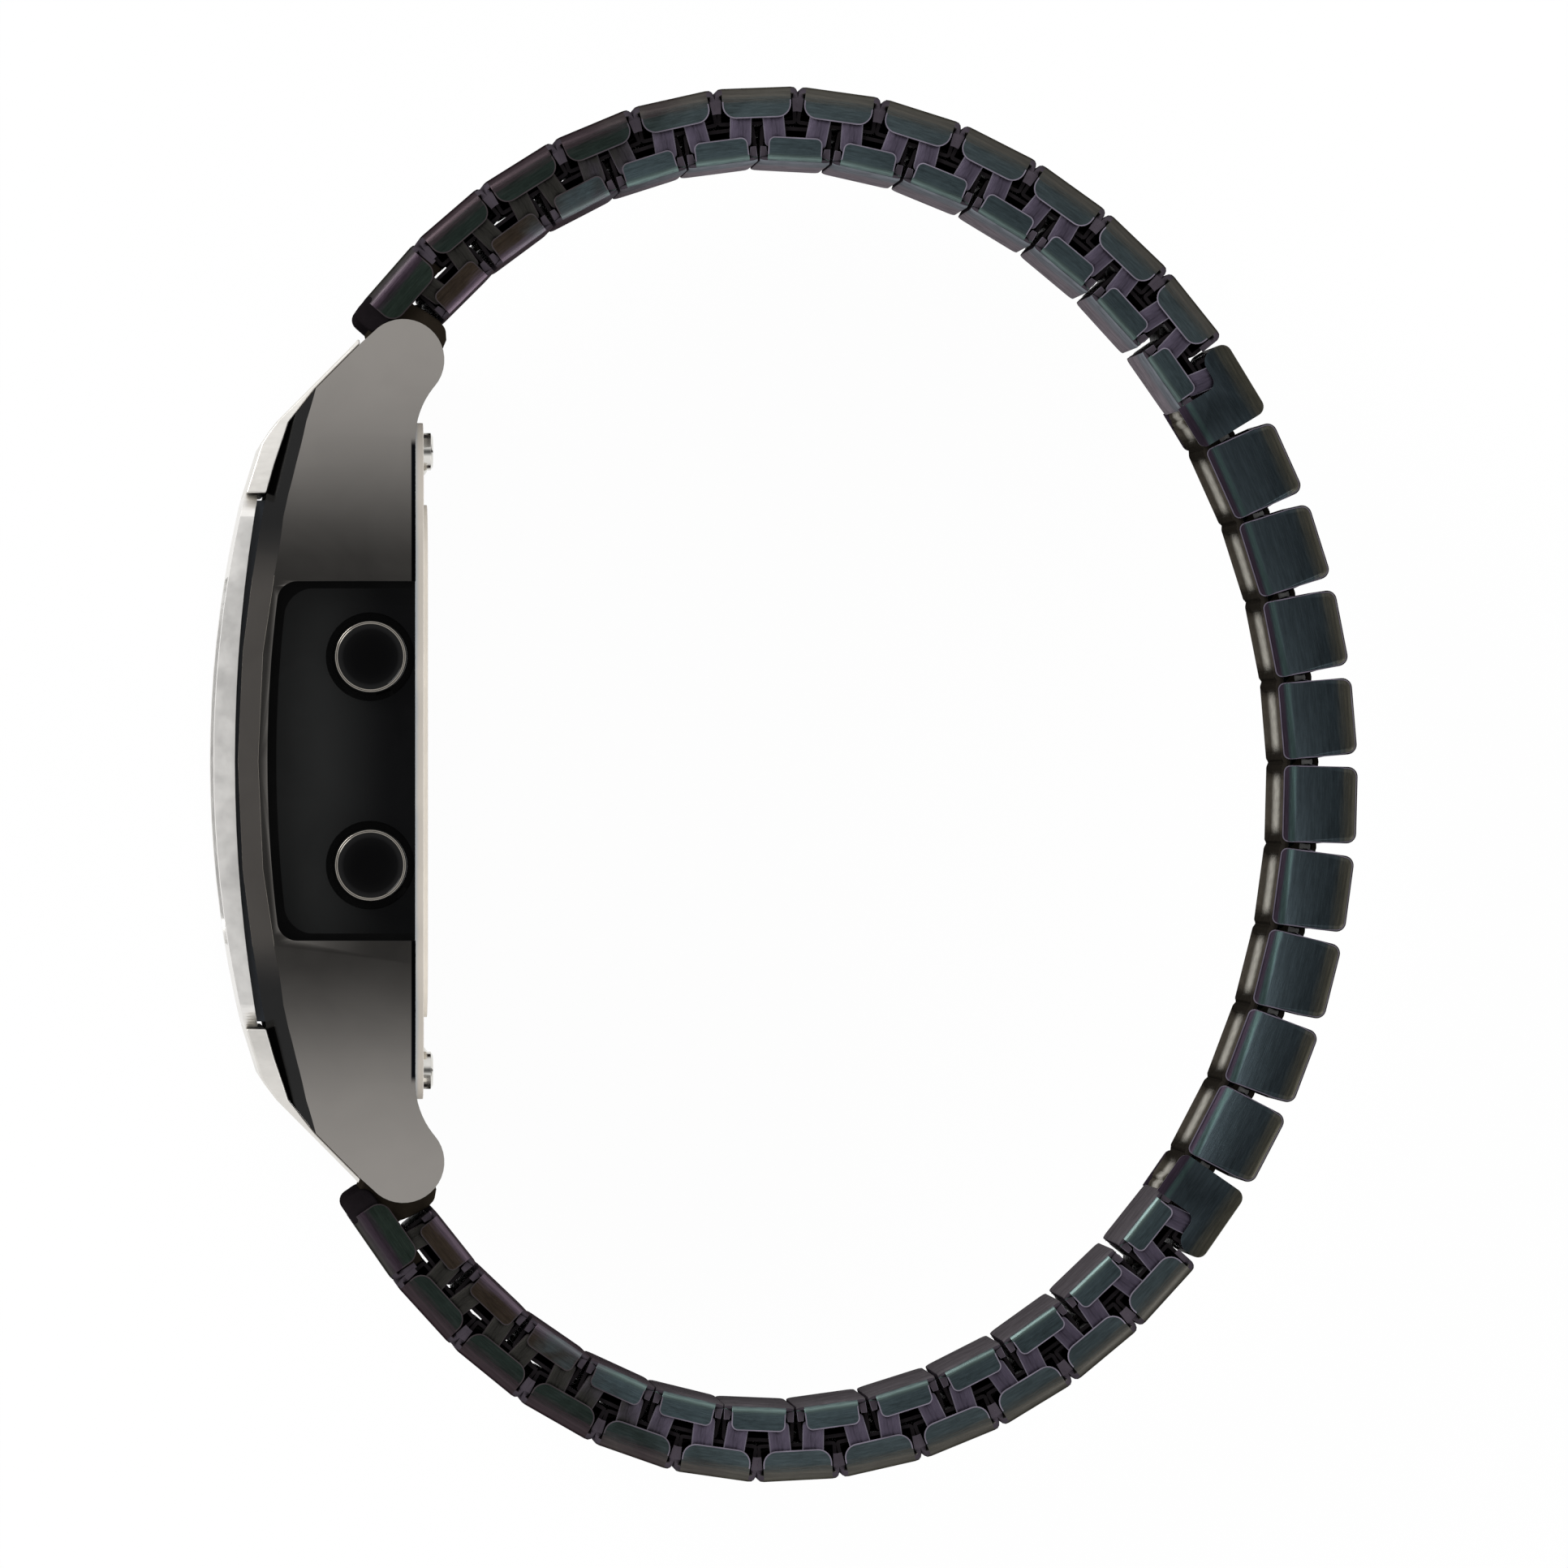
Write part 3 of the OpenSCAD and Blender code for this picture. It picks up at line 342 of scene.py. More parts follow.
def brushing_group():
    """Fine scratches: Place in millimetres, Stretch divides each axis, so a large number is along."""
    group, t, given, made = new_group(
        "brushing", {"Place": (0, 0, 0), "Stretch": (1, 1, 1), "Fineness": 9.0}, ["Scratches", "Streaks"])
    squeezed = t.filled(t.node("VectorMath", {"operation": "DIVIDE"}), given["Place"], given["Stretch"])
    slower = t.maths("MULTIPLY", given["Fineness"], 0.22)
    fine = t.node("TexNoise", Vector=squeezed, Scale=given["Fineness"], Detail=3, Roughness=0.65)
    wide = t.node("TexNoise", Vector=squeezed, Scale=slower, Detail=2)
    t.put(made["Scratches"], fine.outputs["Fac"])
    t.put(made["Streaks"], wide.outputs["Fac"])
    return group


def clouds_group():
    """Faint patches from handling, between 0 and 1."""
    group, t, given, made = new_group("handling_clouds", {"Place": (0, 0, 0), "Size": 1.0}, ["Patches"])
    field = t.node("TexNoise", Vector=given["Place"], Scale=given["Size"], Detail=4, Distortion=0.6)
    steep = t.node("MapRange", Value=field.outputs["Fac"], From_Min=0.35, From_Max=0.68)
    t.put(made["Patches"], steep.outputs["Result"])
    return group


def zone_group():
    """Two colours that change over along one direction, with a ragged border."""
    given_values = {"Where": 0.0, "Start": 0.0, "End": 1.0, "Ragged": 0.5, "Raggedness": 0.2,
                    "First": (0, 0, 0, 1), "Second": (1, 1, 1, 1)}
    group, t, given, made = new_group("zone_blend", given_values, ["Colour"], "Color")
    sway = t.maths("SUBTRACT", given["Ragged"], 0.5)
    amount = t.maths("MULTIPLY_ADD", sway, given["Raggedness"], given["Where"])
    span = t.node("MapRange", {"interpolation_type": "SMOOTHSTEP"}, Value=amount,
                  From_Min=given["Start"], From_Max=given["End"])
    mix = t.node("Mix", {"data_type": "RGBA"}, Factor=span.outputs["Result"], A=given["First"],
                 B=given["Second"])
    t.put(made["Colour"], mix.outputs["Result"])
    return group


def rounded_panel():
    """1 inside the outline of the bay's floor, 0 outside: straight sides, and an arch at the top."""
    group, t, given, made = new_group("Rounded panel", {"Place": (0, 0, 0), "Corner": 0.0}, ["Inside"])
    x, y, corner = t.axis(given["Place"], "X"), t.axis(given["Place"], "Y"), given["Corner"]
    sag = t.maths("DIVIDE", t.maths("MULTIPLY", y, y), PANEL_SAG)
    across = t.maths("ABSOLUTE", t.maths("ADD", t.maths("SUBTRACT", x, sag), PANEL_X))
    outside = []
    for away, half in zip((across, t.maths("ABSOLUTE", y)), PANEL_HALVES):
        past = t.maths("MAXIMUM", t.maths("SUBTRACT", away, t.maths("SUBTRACT", half, corner)), 0.0)
        outside.append(t.maths("MULTIPLY", past, past))
    gap = t.maths("SUBTRACT", t.maths("SQRT", t.maths("ADD", *outside)), corner)
    mask = t.node("MapRange", Value=gap, From_Min=0.05, From_Max=-0.05)
    t.put(made["Inside"], mask.outputs["Result"])
    return group


BRUSHING, CLOUDS, ZONES, PANEL = brushing_group(), clouds_group(), zone_group(), rounded_panel()
print("shared effects:", [g.name for g in (BRUSHING, CLOUDS, ZONES, PANEL)])

# %% [markdown]
# ## A small kit for finishes
#
# Every finish is one Principled shader. Its plain numbers are set on its own sockets, and only
# what changes over the surface is wired: the colour zones, the roughness of the scratches and
# their tiny relief. A link's pattern has to turn with the link, so each link carries an attribute
# with its own flat coordinates, in millimetres. The head's pieces read the object's coordinates.

# %% Finish helpers


class Finish(Tree):
    """One material with a Principled shader, and short ways to wire it."""

    def __init__(self, name, metallic=1.0, roughness=0.35, **sockets):
        self.material = bpy.data.materials.new(name)
        self.material.use_nodes = True
        super().__init__(self.material.node_tree)
        self.shader = self.nodes["Principled BSDF"]
        self.wire(Metallic=metallic, Roughness=roughness, **sockets)

    def wire(self, **values):
        for title, value in values.items():
            self.put(self.shader.inputs[title.replace("_", " ")], value)

    def own_place(self):
        """The link's own flat coordinates, in millimetres."""
        return self.node("Attribute", {"attribute_name": "flat_place"}).outputs["Vector"]

    def row_place(self):
        """Object coordinates in millimetres."""
        scale = self.node("VectorMath", {"operation": "SCALE"}, Scale=1000)
        return self.filled(scale, self.node("TexCoord").outputs["Object"])

    def group(self, tree, **values):
        return self.node("Group", {"node_tree": tree}, **values).outputs

    def brushed(self, place, stretch, fineness):
        """Scratches and broad streaks, from 0 to 1."""
        made = self.group(BRUSHING, Place=place, Stretch=stretch, Fineness=fineness)
        return made["Scratches"], made["Streaks"]

    def clouds(self, place, size):
        return self.group(CLOUDS, Place=place, Size=size)["Patches"]

    def zone(self, where, start, end, first, second, ragged=0.5, raggedness=0.0):
        """The first colour before start, the second past end, and between them a ragged border."""
        return self.group(ZONES, Where=where, Start=start, End=end, Ragged=ragged,
                          Raggedness=raggedness, First=first, Second=second)["Colour"]

    def spread(self, value, low, high):
        """Maps 0 to 1 onto low to high."""
        return self.node("MapRange", Value=value, To_Min=low, To_Max=high).outputs["Result"]

    def shade(self, colour, value, low, high):
        """Darkens and lightens a colour by a value from 0 to 1."""
        return self.node("HueSaturation", Value=self.spread(value, low, high), Color=colour).outputs["Color"]

    def finished(self, colour, shades, gloss, relief=None, strength=0.0, depth=0.00001):
        """Wires the shaded colour, the gloss, which sums its spreads, and the relief.

        shades and gloss list values from 0 to 1, each with what it makes of 0 and of 1."""
        for value, low, high in shades:
            colour = self.shade(colour, value, low, high)
        spreads = [self.spread(*one) for one in gloss]
        self.wire(Base_Color=colour, Roughness=self.maths("ADD", *spreads) if spreads[1:] else spreads[0])
        if relief:
            bump = self.node("Bump", Strength=strength, Distance=depth, Height=relief)
            self.wire(Normal=bump.outputs["Normal"])
        return self.material


# %% [markdown]
# ## The bracelet's coating
#
# The links are steel under a very thin hard coating. Its colour comes from interference, so it
# slides from teal on the flat flaps to olive brown on the outer bend, and to purple on the inner
# links near the case. The flat coordinates say how deep a point lies below the outer surface.
# A brighter band at one depth is a painted highlight, and the darkening towards the far end of
# the loop is painted shade.

# %% Coated finishes


def coated_sheet(name, flat, bend, near, rough, zones, painted_highlight=None, along=(6.0, 0.35, 6.0),
                 near_span=(6.0, 15.0), near_bend=None, band=0.3, lower=None):
    """Brushed coated sheet: flat and bend are its two colours, near the tint close to the case.

    zones is the depth where flat turns to bend, the highlight pair a painted highlight, a brighter band
    of one colour round one depth, lower a colour below one depth, and near_bend the tint of the bend
    close to the case."""
    f = Finish(name, roughness=rough, Specular_Tint=(0.3, 0.3, 0.3))
    own, row = f.own_place(), f.row_place()
    scratches, streaks = f.brushed(own, along, 11.0)
    patches = f.clouds(row, 0.55)
    depth, across = f.axis(own, "Y"), f.axis(row, "X")
    shown = f.zone(depth, *zones, flat, bend, streaks, 0.5)
    # a painted highlight: a brighter band of colour round one depth, where the bend catches light
    if painted_highlight:
        middle, bright = painted_highlight
        below = f.zone(depth, middle - band, middle - 0.02, shown, bright, scratches, 0.25)
        shown = f.zone(depth, middle + 0.02, middle + band, below, shown, scratches, 0.25)
    if lower:
        shown = f.zone(depth, lower[1], lower[2], lower[0], shown, scratches, 0.1)
    if near_bend:
        near = f.zone(depth, near_bend[1], near_bend[2], near, near_bend[0], streaks, 0.8)
    if near:
        shown = f.zone(across, *near_span, near, shown, patches, 3.0)
    # painted shade: the coat darkens towards the far end of the loop
    far_painted_shade = f.node("MapRange", Value=across, From_Min=17.0, From_Max=27.0, To_Min=0.5, To_Max=0.0)
    shades = [(far_painted_shade.outputs["Result"], 0.76, 1.24), (streaks, 0.6, 1.42), (scratches, 0.62, 1.42)]
    gloss = [(scratches, rough - 0.1, rough + 0.1), (patches, -0.03, 0.03)]
    return f.finished(shown, shades, gloss, scratches, 0.45)


def dull_coat(name, colour, rough, far=None, near=None):
    """Inward faces: the same coat rubbed dull. far is its tint on the hidden side, near by the case."""
    f = Finish(name, metallic=0.0, roughness=rough, Specular_IOR_Level=0.0)
    own, row = f.own_place(), f.row_place()
    if far:
        colour = f.zone(f.axis(own, "Z"), 0.0, 6.0, far, colour)
        colour = f.zone(f.axis(row, "Y"), -18.0, 2.0, "504c4f", colour)
    if near:
        colour = f.zone(f.axis(row, "X"), 6.0, 14.0, near, colour)
    scratches, streaks = f.brushed(own, (6.0, 6.0, 0.35), 9.0)
    shades = [(streaks, 0.7, 1.35), (f.clouds(row, 0.9), 0.8, 1.2)]
    return f.finished(colour, shades, [(scratches, rough - 0.08, rough + 0.08)], scratches, 0.3)


outer_coat = coated_sheet("outer_link_coating", "4a5558", "4e4c47", "29322e", 0.36, (-0.85, -0.3),
                          near_bend=("383033", -0.9, -0.35))
inner_coat = coated_sheet("inner_link_coating", "4b585c", "4c4650", "3f362e", 0.32, (-3.3, -3.42),
                          painted_highlight=(-3.2, "647572"), near_bend=("5e525c", -2.75, -3.2), band=0.24,
                          near_span=(3.5, 9.5))
closed_coat = coated_sheet("closed_link_coating", "30383c", "4c4a41", "30383c", 0.36, (-0.9, -0.2),
                           painted_highlight=(-2.92, "374645"), band=0.2, lower=("332b35", -3.16, -3.02))
end_coat = coated_sheet("end_link_coating", "2d3731", "382f37", None, 0.34, (-1.0, -0.62),
                        painted_highlight=(0.0, "403f3d"), band=0.55)
staple_coat = coated_sheet("staple_coating", "585160", "585160", "32312e", 0.34, (-9, -8),
                           along=(0.35, 6.0, 6.0), near_span=(6.0, 13.0))
# the light rims along the sheets' edges are a painted highlight
rim_painted_highlight = dull_coat("worn_rim", "6a6570", 0.4, near="373234")
closed_rim = dull_coat("closed_link_rim", "5a5560", 0.4)
plate_coat = dull_coat("inner_plate_coating", "6c7076", 0.5, far="7c757b", near="3a3236")
lip_coat = dull_coat("curled_end_coating", "3a353b", 0.5)
core_coat = dull_coat("end_core_coating", "25201a", 0.4)
hood_coat = dull_coat("hood_end_coating", "171416", 0.4)
print("coats: 11")

# %% Bare and dark metal inside the links


def plain_metal(name, colour, rough, metallic=1.0, **sockets):
    f = Finish(name, metallic=metallic, roughness=rough, **sockets)
    patches = f.clouds(f.row_place(), 1.3)
    return f.finished(colour, [(patches, 0.8, 1.15)], [(patches, rough - 0.05, rough + 0.05)])


def liner_with_painted_light():
    """The inner plates of the closed links, with a painted highlight down the middle of the dished face and
    painted shade at both ends.
    """
    f = Finish("inner_plate_steel", metallic=0.0, roughness=0.42, Specular_IOR_Level=0.0)
    own = f.own_place()
    scratches, streaks = f.brushed(own, (0.5, 3.0, 3.0), 7.0)
    middle, side = (f.maths("ABSOLUTE", f.axis(own, name)) for name in "ZX")
    # worn is a painted highlight down the middle of the plate, and rubbed the near-black painted shade at
    # its ends towards the gaps
    worn = f.zone(middle, 0.5, 5.5, "aeaba2", "47423b", scratches, 1.5)
    rubbed = f.zone(side, 0.9, 1.5, worn, "24211d", scratches, 0.5)
    return f.finished(rubbed, [(streaks, 0.6, 1.3)], [(scratches, 0.3, 0.5)], scratches, 0.5)


# the sleeves are near black and barely reflect: painted shade for the dark inside of the links
tube_painted_shade = plain_metal("sleeve_steel", "1c191b", 0.4, metallic=0.0, Specular_IOR_Level=0.03)
spring_metal = plain_metal("leaf_spring_steel", "4d4b48", 0.3, Specular_Tint=(0.2, 0.2, 0.2))
liner_metal = liner_with_painted_light()
pin_metal = plain_metal("pin_steel", "8a8a88", 0.22)
print("metals: 4")

# %% [markdown]
# ## Modelling helpers
#
# These few helpers are what the hand does in edit mode: start from a box, pick faces or edges by
# where they lie, round them, and let modifiers give the sheet its thickness and its worn edges.

# %% Starting shapes
ops = bpy.ops
MERGE = 0.000002
# the tolerance of picks by place, and how far a normal leans along an axis to look that way
TINY, FACING = 0.01, 0.9


def edit():
    ops.object.mode_set(mode="EDIT")


def leave():
    ops.object.mode_set(mode="OBJECT")


def choose(*pieces):
    """Deselects everything, then selects these pieces, with the first one active."""
    ops.object.select_all(action="DESELECT")
    for piece in pieces:
        piece.select_set(True)
    if pieces:
        bpy.context.view_layer.objects.active = pieces[0]


def start_box(low, high):
    choose()
    ops.mesh.primitive_cube_add(size=1, location=[(a + b) / 2 * MM for a, b in zip(low, high)])
    piece = bpy.context.object
    piece.scale = [(b - a) * MM for a, b in zip(low, high)]
    ops.object.transform_apply(location=True, rotation=True, scale=True)
    return piece


def start_cylinder(x, y, z0, z1, radius, sides):
    choose()
    ops.mesh.primitive_cylinder_add(vertices=sides, radius=radius * MM, depth=(z1 - z0) * MM,
                                    location=(x * MM, y * MM, (z0 + z1) / 2 * MM))
    ops.object.transform_apply(location=True)
    return bpy.context.object


def start_outline(points, z0, z1):
    """A slab whose rim follows points in x and y: a disc with its rim moved, then extruded."""
    choose()
    ops.mesh.primitive_circle_add(vertices=len(points), radius=MM, fill_type="NGON")
    piece = bpy.context.object
    for vertex, (x, y) in zip(piece.data.vertices, points):
        vertex.co = (x * MM, y * MM, z0 * MM)
    edit()
    ops.mesh.select_all(action="SELECT")
    ops.mesh.extrude_region_move(TRANSFORM_OT_translate={"value": (0, 0, (z1 - z0) * MM)})
    ops.mesh.select_all(action="SELECT")
    ops.mesh.normals_make_consistent(inside=False)
    leave()
    return piece


# %% Picking and rounding


def pick(kind, rule):
    """Selects vertices, edges or faces of the piece in edit mode by their place in millimetres."""
    ops.mesh.select_mode(type=kind)
    ops.mesh.select_all(action="DESELECT")
    shape = bmesh.from_edit_mesh(bpy.context.object.data)
    if kind == "VERT":
        chosen = [v for v in shape.verts if rule(v.co * 1000)]
    elif kind == "EDGE":
        chosen = [e for e in shape.edges if rule(*(v.co * 1000 for v in e.verts))]
    else:
        chosen = [f for f in shape.faces if rule(f.calc_center_median() * 1000, f.normal)]
    for item in chosen:
        item.select_set(True)
    bmesh.update_edit_mesh(bpy.context.object.data)


def round_off(kind, rule, width, segments, profile=0.5):
    """Rounds the picked edges, or cuts the picked corners round."""
    pick(kind, rule)
    ops.mesh.bevel(offset=width * MM, segments=segments, profile=profile, clamp_overlap=True,
                   affect="EDGES" if kind == "EDGE" else "VERTICES")


def drop_faces(rule):
    pick("FACE", rule)
    ops.mesh.delete(type="FACE")


def bare_rim(width, rule, number):
    """A narrow strip inside the outline of the picked faces gets the finish of that number."""
    pick("FACE", rule)
    ops.mesh.inset(thickness=width * MM, use_boundary=True)
    shape = bmesh.from_edit_mesh(bpy.context.object.data)
    for face in shape.faces:
        if not face.select and rule(face.calc_center_median() * 1000, face.normal):
            face.material_index = number
    bmesh.update_edit_mesh(bpy.context.object.data)


def hollow_cylinder(x, y, z0, z1, outer, inner, sides):
    """A cylinder with a bore: its ends are inset and taken out, and their rims bridged through."""
    ring = start_cylinder(x, y, z0, z1, outer, sides)
    edit()
    pick("FACE", lambda c, n: abs(n.z) > FACING)
    ops.mesh.inset(thickness=(outer - inner) * MM)
    ops.mesh.delete(type="FACE")
    pick("EDGE", lambda p, q: max(math.dist(p.xy, (x, y)), math.dist(q.xy, (x, y))) < inner + 0.05)
    ops.mesh.bridge_edge_loops()
    leave()
    return ring


# %% Sheet thickness, worn edges and finishes


def thicken(piece, thickness):
    skin = piece.modifiers.new("sheet", "SOLIDIFY")
    skin.thickness, skin.offset, skin.use_even_offset = thickness * MM, -1, True
    ops.object.modifier_apply(modifier=skin.name)


def soften(piece, width, segments=2, angle=40, rim=-1, harden=False):
    """Rounds every sharp edge a little, as tumbling and wear do. rim is the new faces' finish number."""
    worn = piece.modifiers.new("worn_edges", "BEVEL")
    worn.width, worn.segments, worn.limit_method = width * MM, segments, "ANGLE"
    worn.angle_limit, worn.harden_normals, worn.material = math.radians(angle), harden, rim
    ops.object.modifier_apply(modifier=worn.name)


def shade(piece, angle=32):
    choose(piece)
    ops.object.shade_smooth_by_angle(angle=math.radians(angle))


def join(*pieces):
    choose(*pieces)
    ops.object.join()
    return bpy.context.object


def dress(piece, *materials):
    """Gives the piece its finishes in order; every face keeps the number it had."""
    numbers = [face.material_index for face in piece.data.polygons]
    piece.data.materials.clear()
    for material in materials:
        piece.data.materials.append(material)
    piece.data.polygons.foreach_set("material_index", numbers)


# %% Setting a piece down


def number_faces(piece, number, rule):
    """Gives the finish of that number to the faces that rule picks by centre, in mm, and normal."""
    for face in piece.data.polygons:
        if rule(face.center * 1000, face.normal):
            face.material_index = number


def keep_flat_place(piece):
    """Stores each vertex's flat coordinates, so that the pattern stays with the link."""
    store = piece.data.attributes.new("flat_place", "FLOAT_VECTOR", "POINT")
    store.data.foreach_set("vector", [c * 1000 for v in piece.data.vertices for c in v.co])


def move(piece, matrix):
    """Moves the piece's mesh. Where the matrix mirrors it, its faces are turned out again."""
    piece.data.transform(matrix)
    if matrix.determinant() < 0:
        piece.data.flip_normals()


def shift(x, y):
    return Matrix.Translation((x * MM, y * MM, 0))


def add_piece(name, mesh):
    piece = bpy.data.objects.new(name, mesh)
    bpy.context.scene.collection.objects.link(piece)
    return piece


def hand_over(piece, name, node, body=None):
    """Names a finished piece, hides the solid it replaces and sets it on the body it rides on."""
    piece.name = piece.data.name = name
    if body:
        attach(piece, body)
    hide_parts(node)
    return piece


def set_down(master, name, k, node, body=None):
    """A copy of a flat link, with its own mesh, on its place on the bracelet's line."""
    piece = add_piece(name, master.data.copy())
    move(piece, place_of(k))
    return hand_over(piece, name, node, body)


# %% [markdown]
# ## The outer links
#
# An outer link is a strip of sheet bent into a shallow U over a square tube. Its flaps show from
# the side with round lower corners, and the top plate runs a little past them and curls down at
# both ends. A box without its underside and ends is already that U: the long edges are rounded
# as the bend, the ends extruded and lowered as the curl, and Solidify turns it into sheet.

# %% Outer cover
HALF = BAND_W / 2
SHEET, RIM_W = 0.3, 0.055
COVER_W, FLAP_W, FLAP_H = PITCH - 0.08, 3.12, 1.38
# shares of the curl's reach and drop that each step takes
CURL_STEPS = ((0.5, 0.1), (0.33, 0.36), (0.17, 0.54))


def bent_cover(flap, depth, plate, bend, corner, curl, finish, lip=0.6):
    """A U of sheet with round flap corners and a top plate that curls down past the flaps.

    flap and plate are pairs: where along the bracelet each begins and ends."""
    piece = start_box((flap[0], -depth, -HALF), (flap[1], 0, HALF))
    dress(piece, finish, rim_painted_highlight, lip_coat)
    edit()
    drop_faces(lambda c, n: n.y < -FACING or abs(n.x) > FACING)
    round_off("EDGE", lambda a, b: min(a.y, b.y) > -TINY and abs(a.x - b.x) > 1, bend, 6, 0.55)
    round_off("VERT", lambda p: p.y < TINY - depth, corner, 7)
    for side, end, past in ((-1, flap[0], flap[0] - plate[0]), (1, flap[1], plate[1] - flap[1])):
        if past < TINY:
            continue
        pick("EDGE", lambda a, b: min(a.x * side, b.x * side) > end * side - TINY
             and min(a.y, b.y) > -0.7 * bend)
        for out, down in [(past * x, curl * y) for x, y in CURL_STEPS] + [(0, lip)]:
            ops.mesh.extrude_region_move(TRANSFORM_OT_translate={"value": (side * out * MM, -down * MM, 0)})
    bare_rim(RIM_W, lambda c, n: abs(n.z) > 0.95, 1)
    leave()
    thicken(piece, SHEET - 0.05)
    soften(piece, 0.06, 2, 50, rim=1)
    shade(piece)
    for face in piece.data.polygons:
        c = face.center * 1000
        if c.y > TINY - bend - RIM_W and face.material_index == 1:
            face.material_index = 0
        if not flap[0] - 0.06 < c.x < flap[1] + 0.06 and face.normal.y < FACING and face.material_index == 0:
            face.material_index = 2
    return piece


cover = bent_cover((-FLAP_W / 2, FLAP_W / 2), FLAP_H, (-COVER_W / 2, COVER_W / 2), 0.6, 0.62, 0.26,
                   outer_coat)
print("outer cover", len(cover.data.polygons), "faces")

# %% [markdown]
# Inside each cover sits a tube with thin walls and round corners. A bowed leaf spring lies in it
# and pushes the staple legs apart, which is what draws the bracelet together. From the side one
# looks straight into the tubes, so they are open-ended and the spring's edge shows. Their
# near-black finish and a dark crimp across their middle keep that inside dark: painted shade.

# %% Tube and leaf spring
# the play under the outer cover, over the inner one, and between the two tubes
PLAY_OUT, PLAY_IN, TUBE_GAP = 0.05, 0.025, 0.07
SLEEVE_END = HALF - 2 * SHEET
SLEEVE_H = (BAND_T - 2 * SHEET - TUBE_GAP - PLAY_OUT - PLAY_IN) / 2
TUBE_W, TUBE_T, TUBE_BEND = 3.6, 0.17, 0.16
BOW_RISE, LEAF_HALF_T, LEAF_HALF_W, LEAF_START, LEAF_GAP = 0.22, 0.05, 5, 0.1, 0.3
CRIMP_GAP, CRIMP_HALF = 0.1, 0.06


def tube_with_spring(width, y0, y1, bow):
    """An open tube, a leaf spring spun as an arc in it, and a crimp that holds the spring; the crimp is a
    dark plate across the tube's middle that keeps the inside dark, painted shade.
    """
    tube = start_box((-width / 2, y0, -SLEEVE_END), (width / 2, y1, SLEEVE_END))
    edit()
    drop_faces(lambda c, n: abs(n.z) > FACING)
    round_off("EDGE", lambda a, b: abs(a.z - b.z) > 1, TUBE_BEND, 3)
    leave()
    thicken(tube, TUBE_T)
    soften(tube, 0.03, 1, 50)
    shade(tube)
    dress(tube, tube_painted_shade, spring_metal)
    half = width / 2 - LEAF_GAP
    radius = (half * half + BOW_RISE * BOW_RISE) / (2 * BOW_RISE)
    spring = start_box((-half, -LEAF_HALF_T, -LEAF_HALF_W), (LEAF_START - half, LEAF_HALF_T, LEAF_HALF_W))
    edit()
    pick("FACE", lambda c, n: n.x > FACING)
    ops.mesh.spin(steps=8, dupli=False, angle=2 * math.asin(half / radius),
                  center=(0, bow * (BOW_RISE - radius) * MM, 0), axis=(0, 0, -bow))
    ops.mesh.select_all(action="SELECT")
    ops.mesh.remove_doubles(threshold=MERGE)
    ops.mesh.normals_make_consistent(inside=False)
    leave()
    move(spring, shift(0, (y0 + y1) / 2 - bow * BOW_RISE / 2))
    dress(spring, tube_painted_shade, spring_metal)
    number_faces(spring, 1, lambda c, n: True)
    shade(spring)
    # the crimp is a dark plate across the tube's middle: painted shade that closes the view through the tube
    crimp = start_box((CRIMP_GAP - width / 2, y0 + CRIMP_GAP, -CRIMP_HALF),
                      (width / 2 - CRIMP_GAP, y1 - CRIMP_GAP, CRIMP_HALF))
    dress(crimp, tube_painted_shade)
    return join(tube, spring, crimp)


TOP = -SHEET - PLAY_OUT
sleeve = tube_with_spring(TUBE_W, TOP - SLEEVE_H, TOP, 1)
outer_link = join(cover, sleeve)
keep_flat_place(outer_link)
print("outer link:", [m.name for m in outer_link.data.materials])

# %% [markdown]
# ## The inner links
#
# The inner row is the same idea upside down and narrower: its flaps point outwards and it stands
# half way between two outer links. Its cover is wider than its flaps, and almost touches its
# neighbours on the inside of the loop.

# %% Inner link
INNER_FLAP, INNER_PLATE, INNER_H, INNER_TUBE_W = 1.225, 1.58, 1.2, 3.24
inner_cover = bent_cover((-INNER_FLAP, INNER_FLAP), INNER_H, (-INNER_PLATE, INNER_PLATE), 0.38, 0.3, 0.05,
                         inner_coat, lip=0.5)
move(inner_cover, shift(0, -BAND_T) @ Matrix.Scale(-1, 4, (0, 1, 0)))
inner_cover.data.materials.append(plate_coat)
number_faces(inner_cover, 3, lambda c, n: n.y < -0.6 and c.y < -BAND_T + 0.15)
LOW = -BAND_T + SHEET + PLAY_IN
inner_tube = tube_with_spring(INNER_TUBE_W, LOW, LOW + SLEEVE_H, -1)
inner_link = join(inner_cover, inner_tube)
keep_flat_place(inner_link)
print("inner link", len(inner_link.data.polygons), "faces")

# %% [markdown]
# ## The staples
#
# A flat staple joins each outer link to the inner link beside it, with one leg in each tube. When
# the bracelet is pulled its two ends move apart and it tilts. Its web is modelled at one length
# along y with its legs along z, and each copy's far end is then moved to the inner tube.

# %% Staple
WEB_W, WEB_T, WEB_END, WEB_GAP = 0.98, 0.2, 0.3, 0.05
LEG_LEN, LEG_R, LEG_OUT, SPAN = 3.0, 0.19, 0.1, 1.45


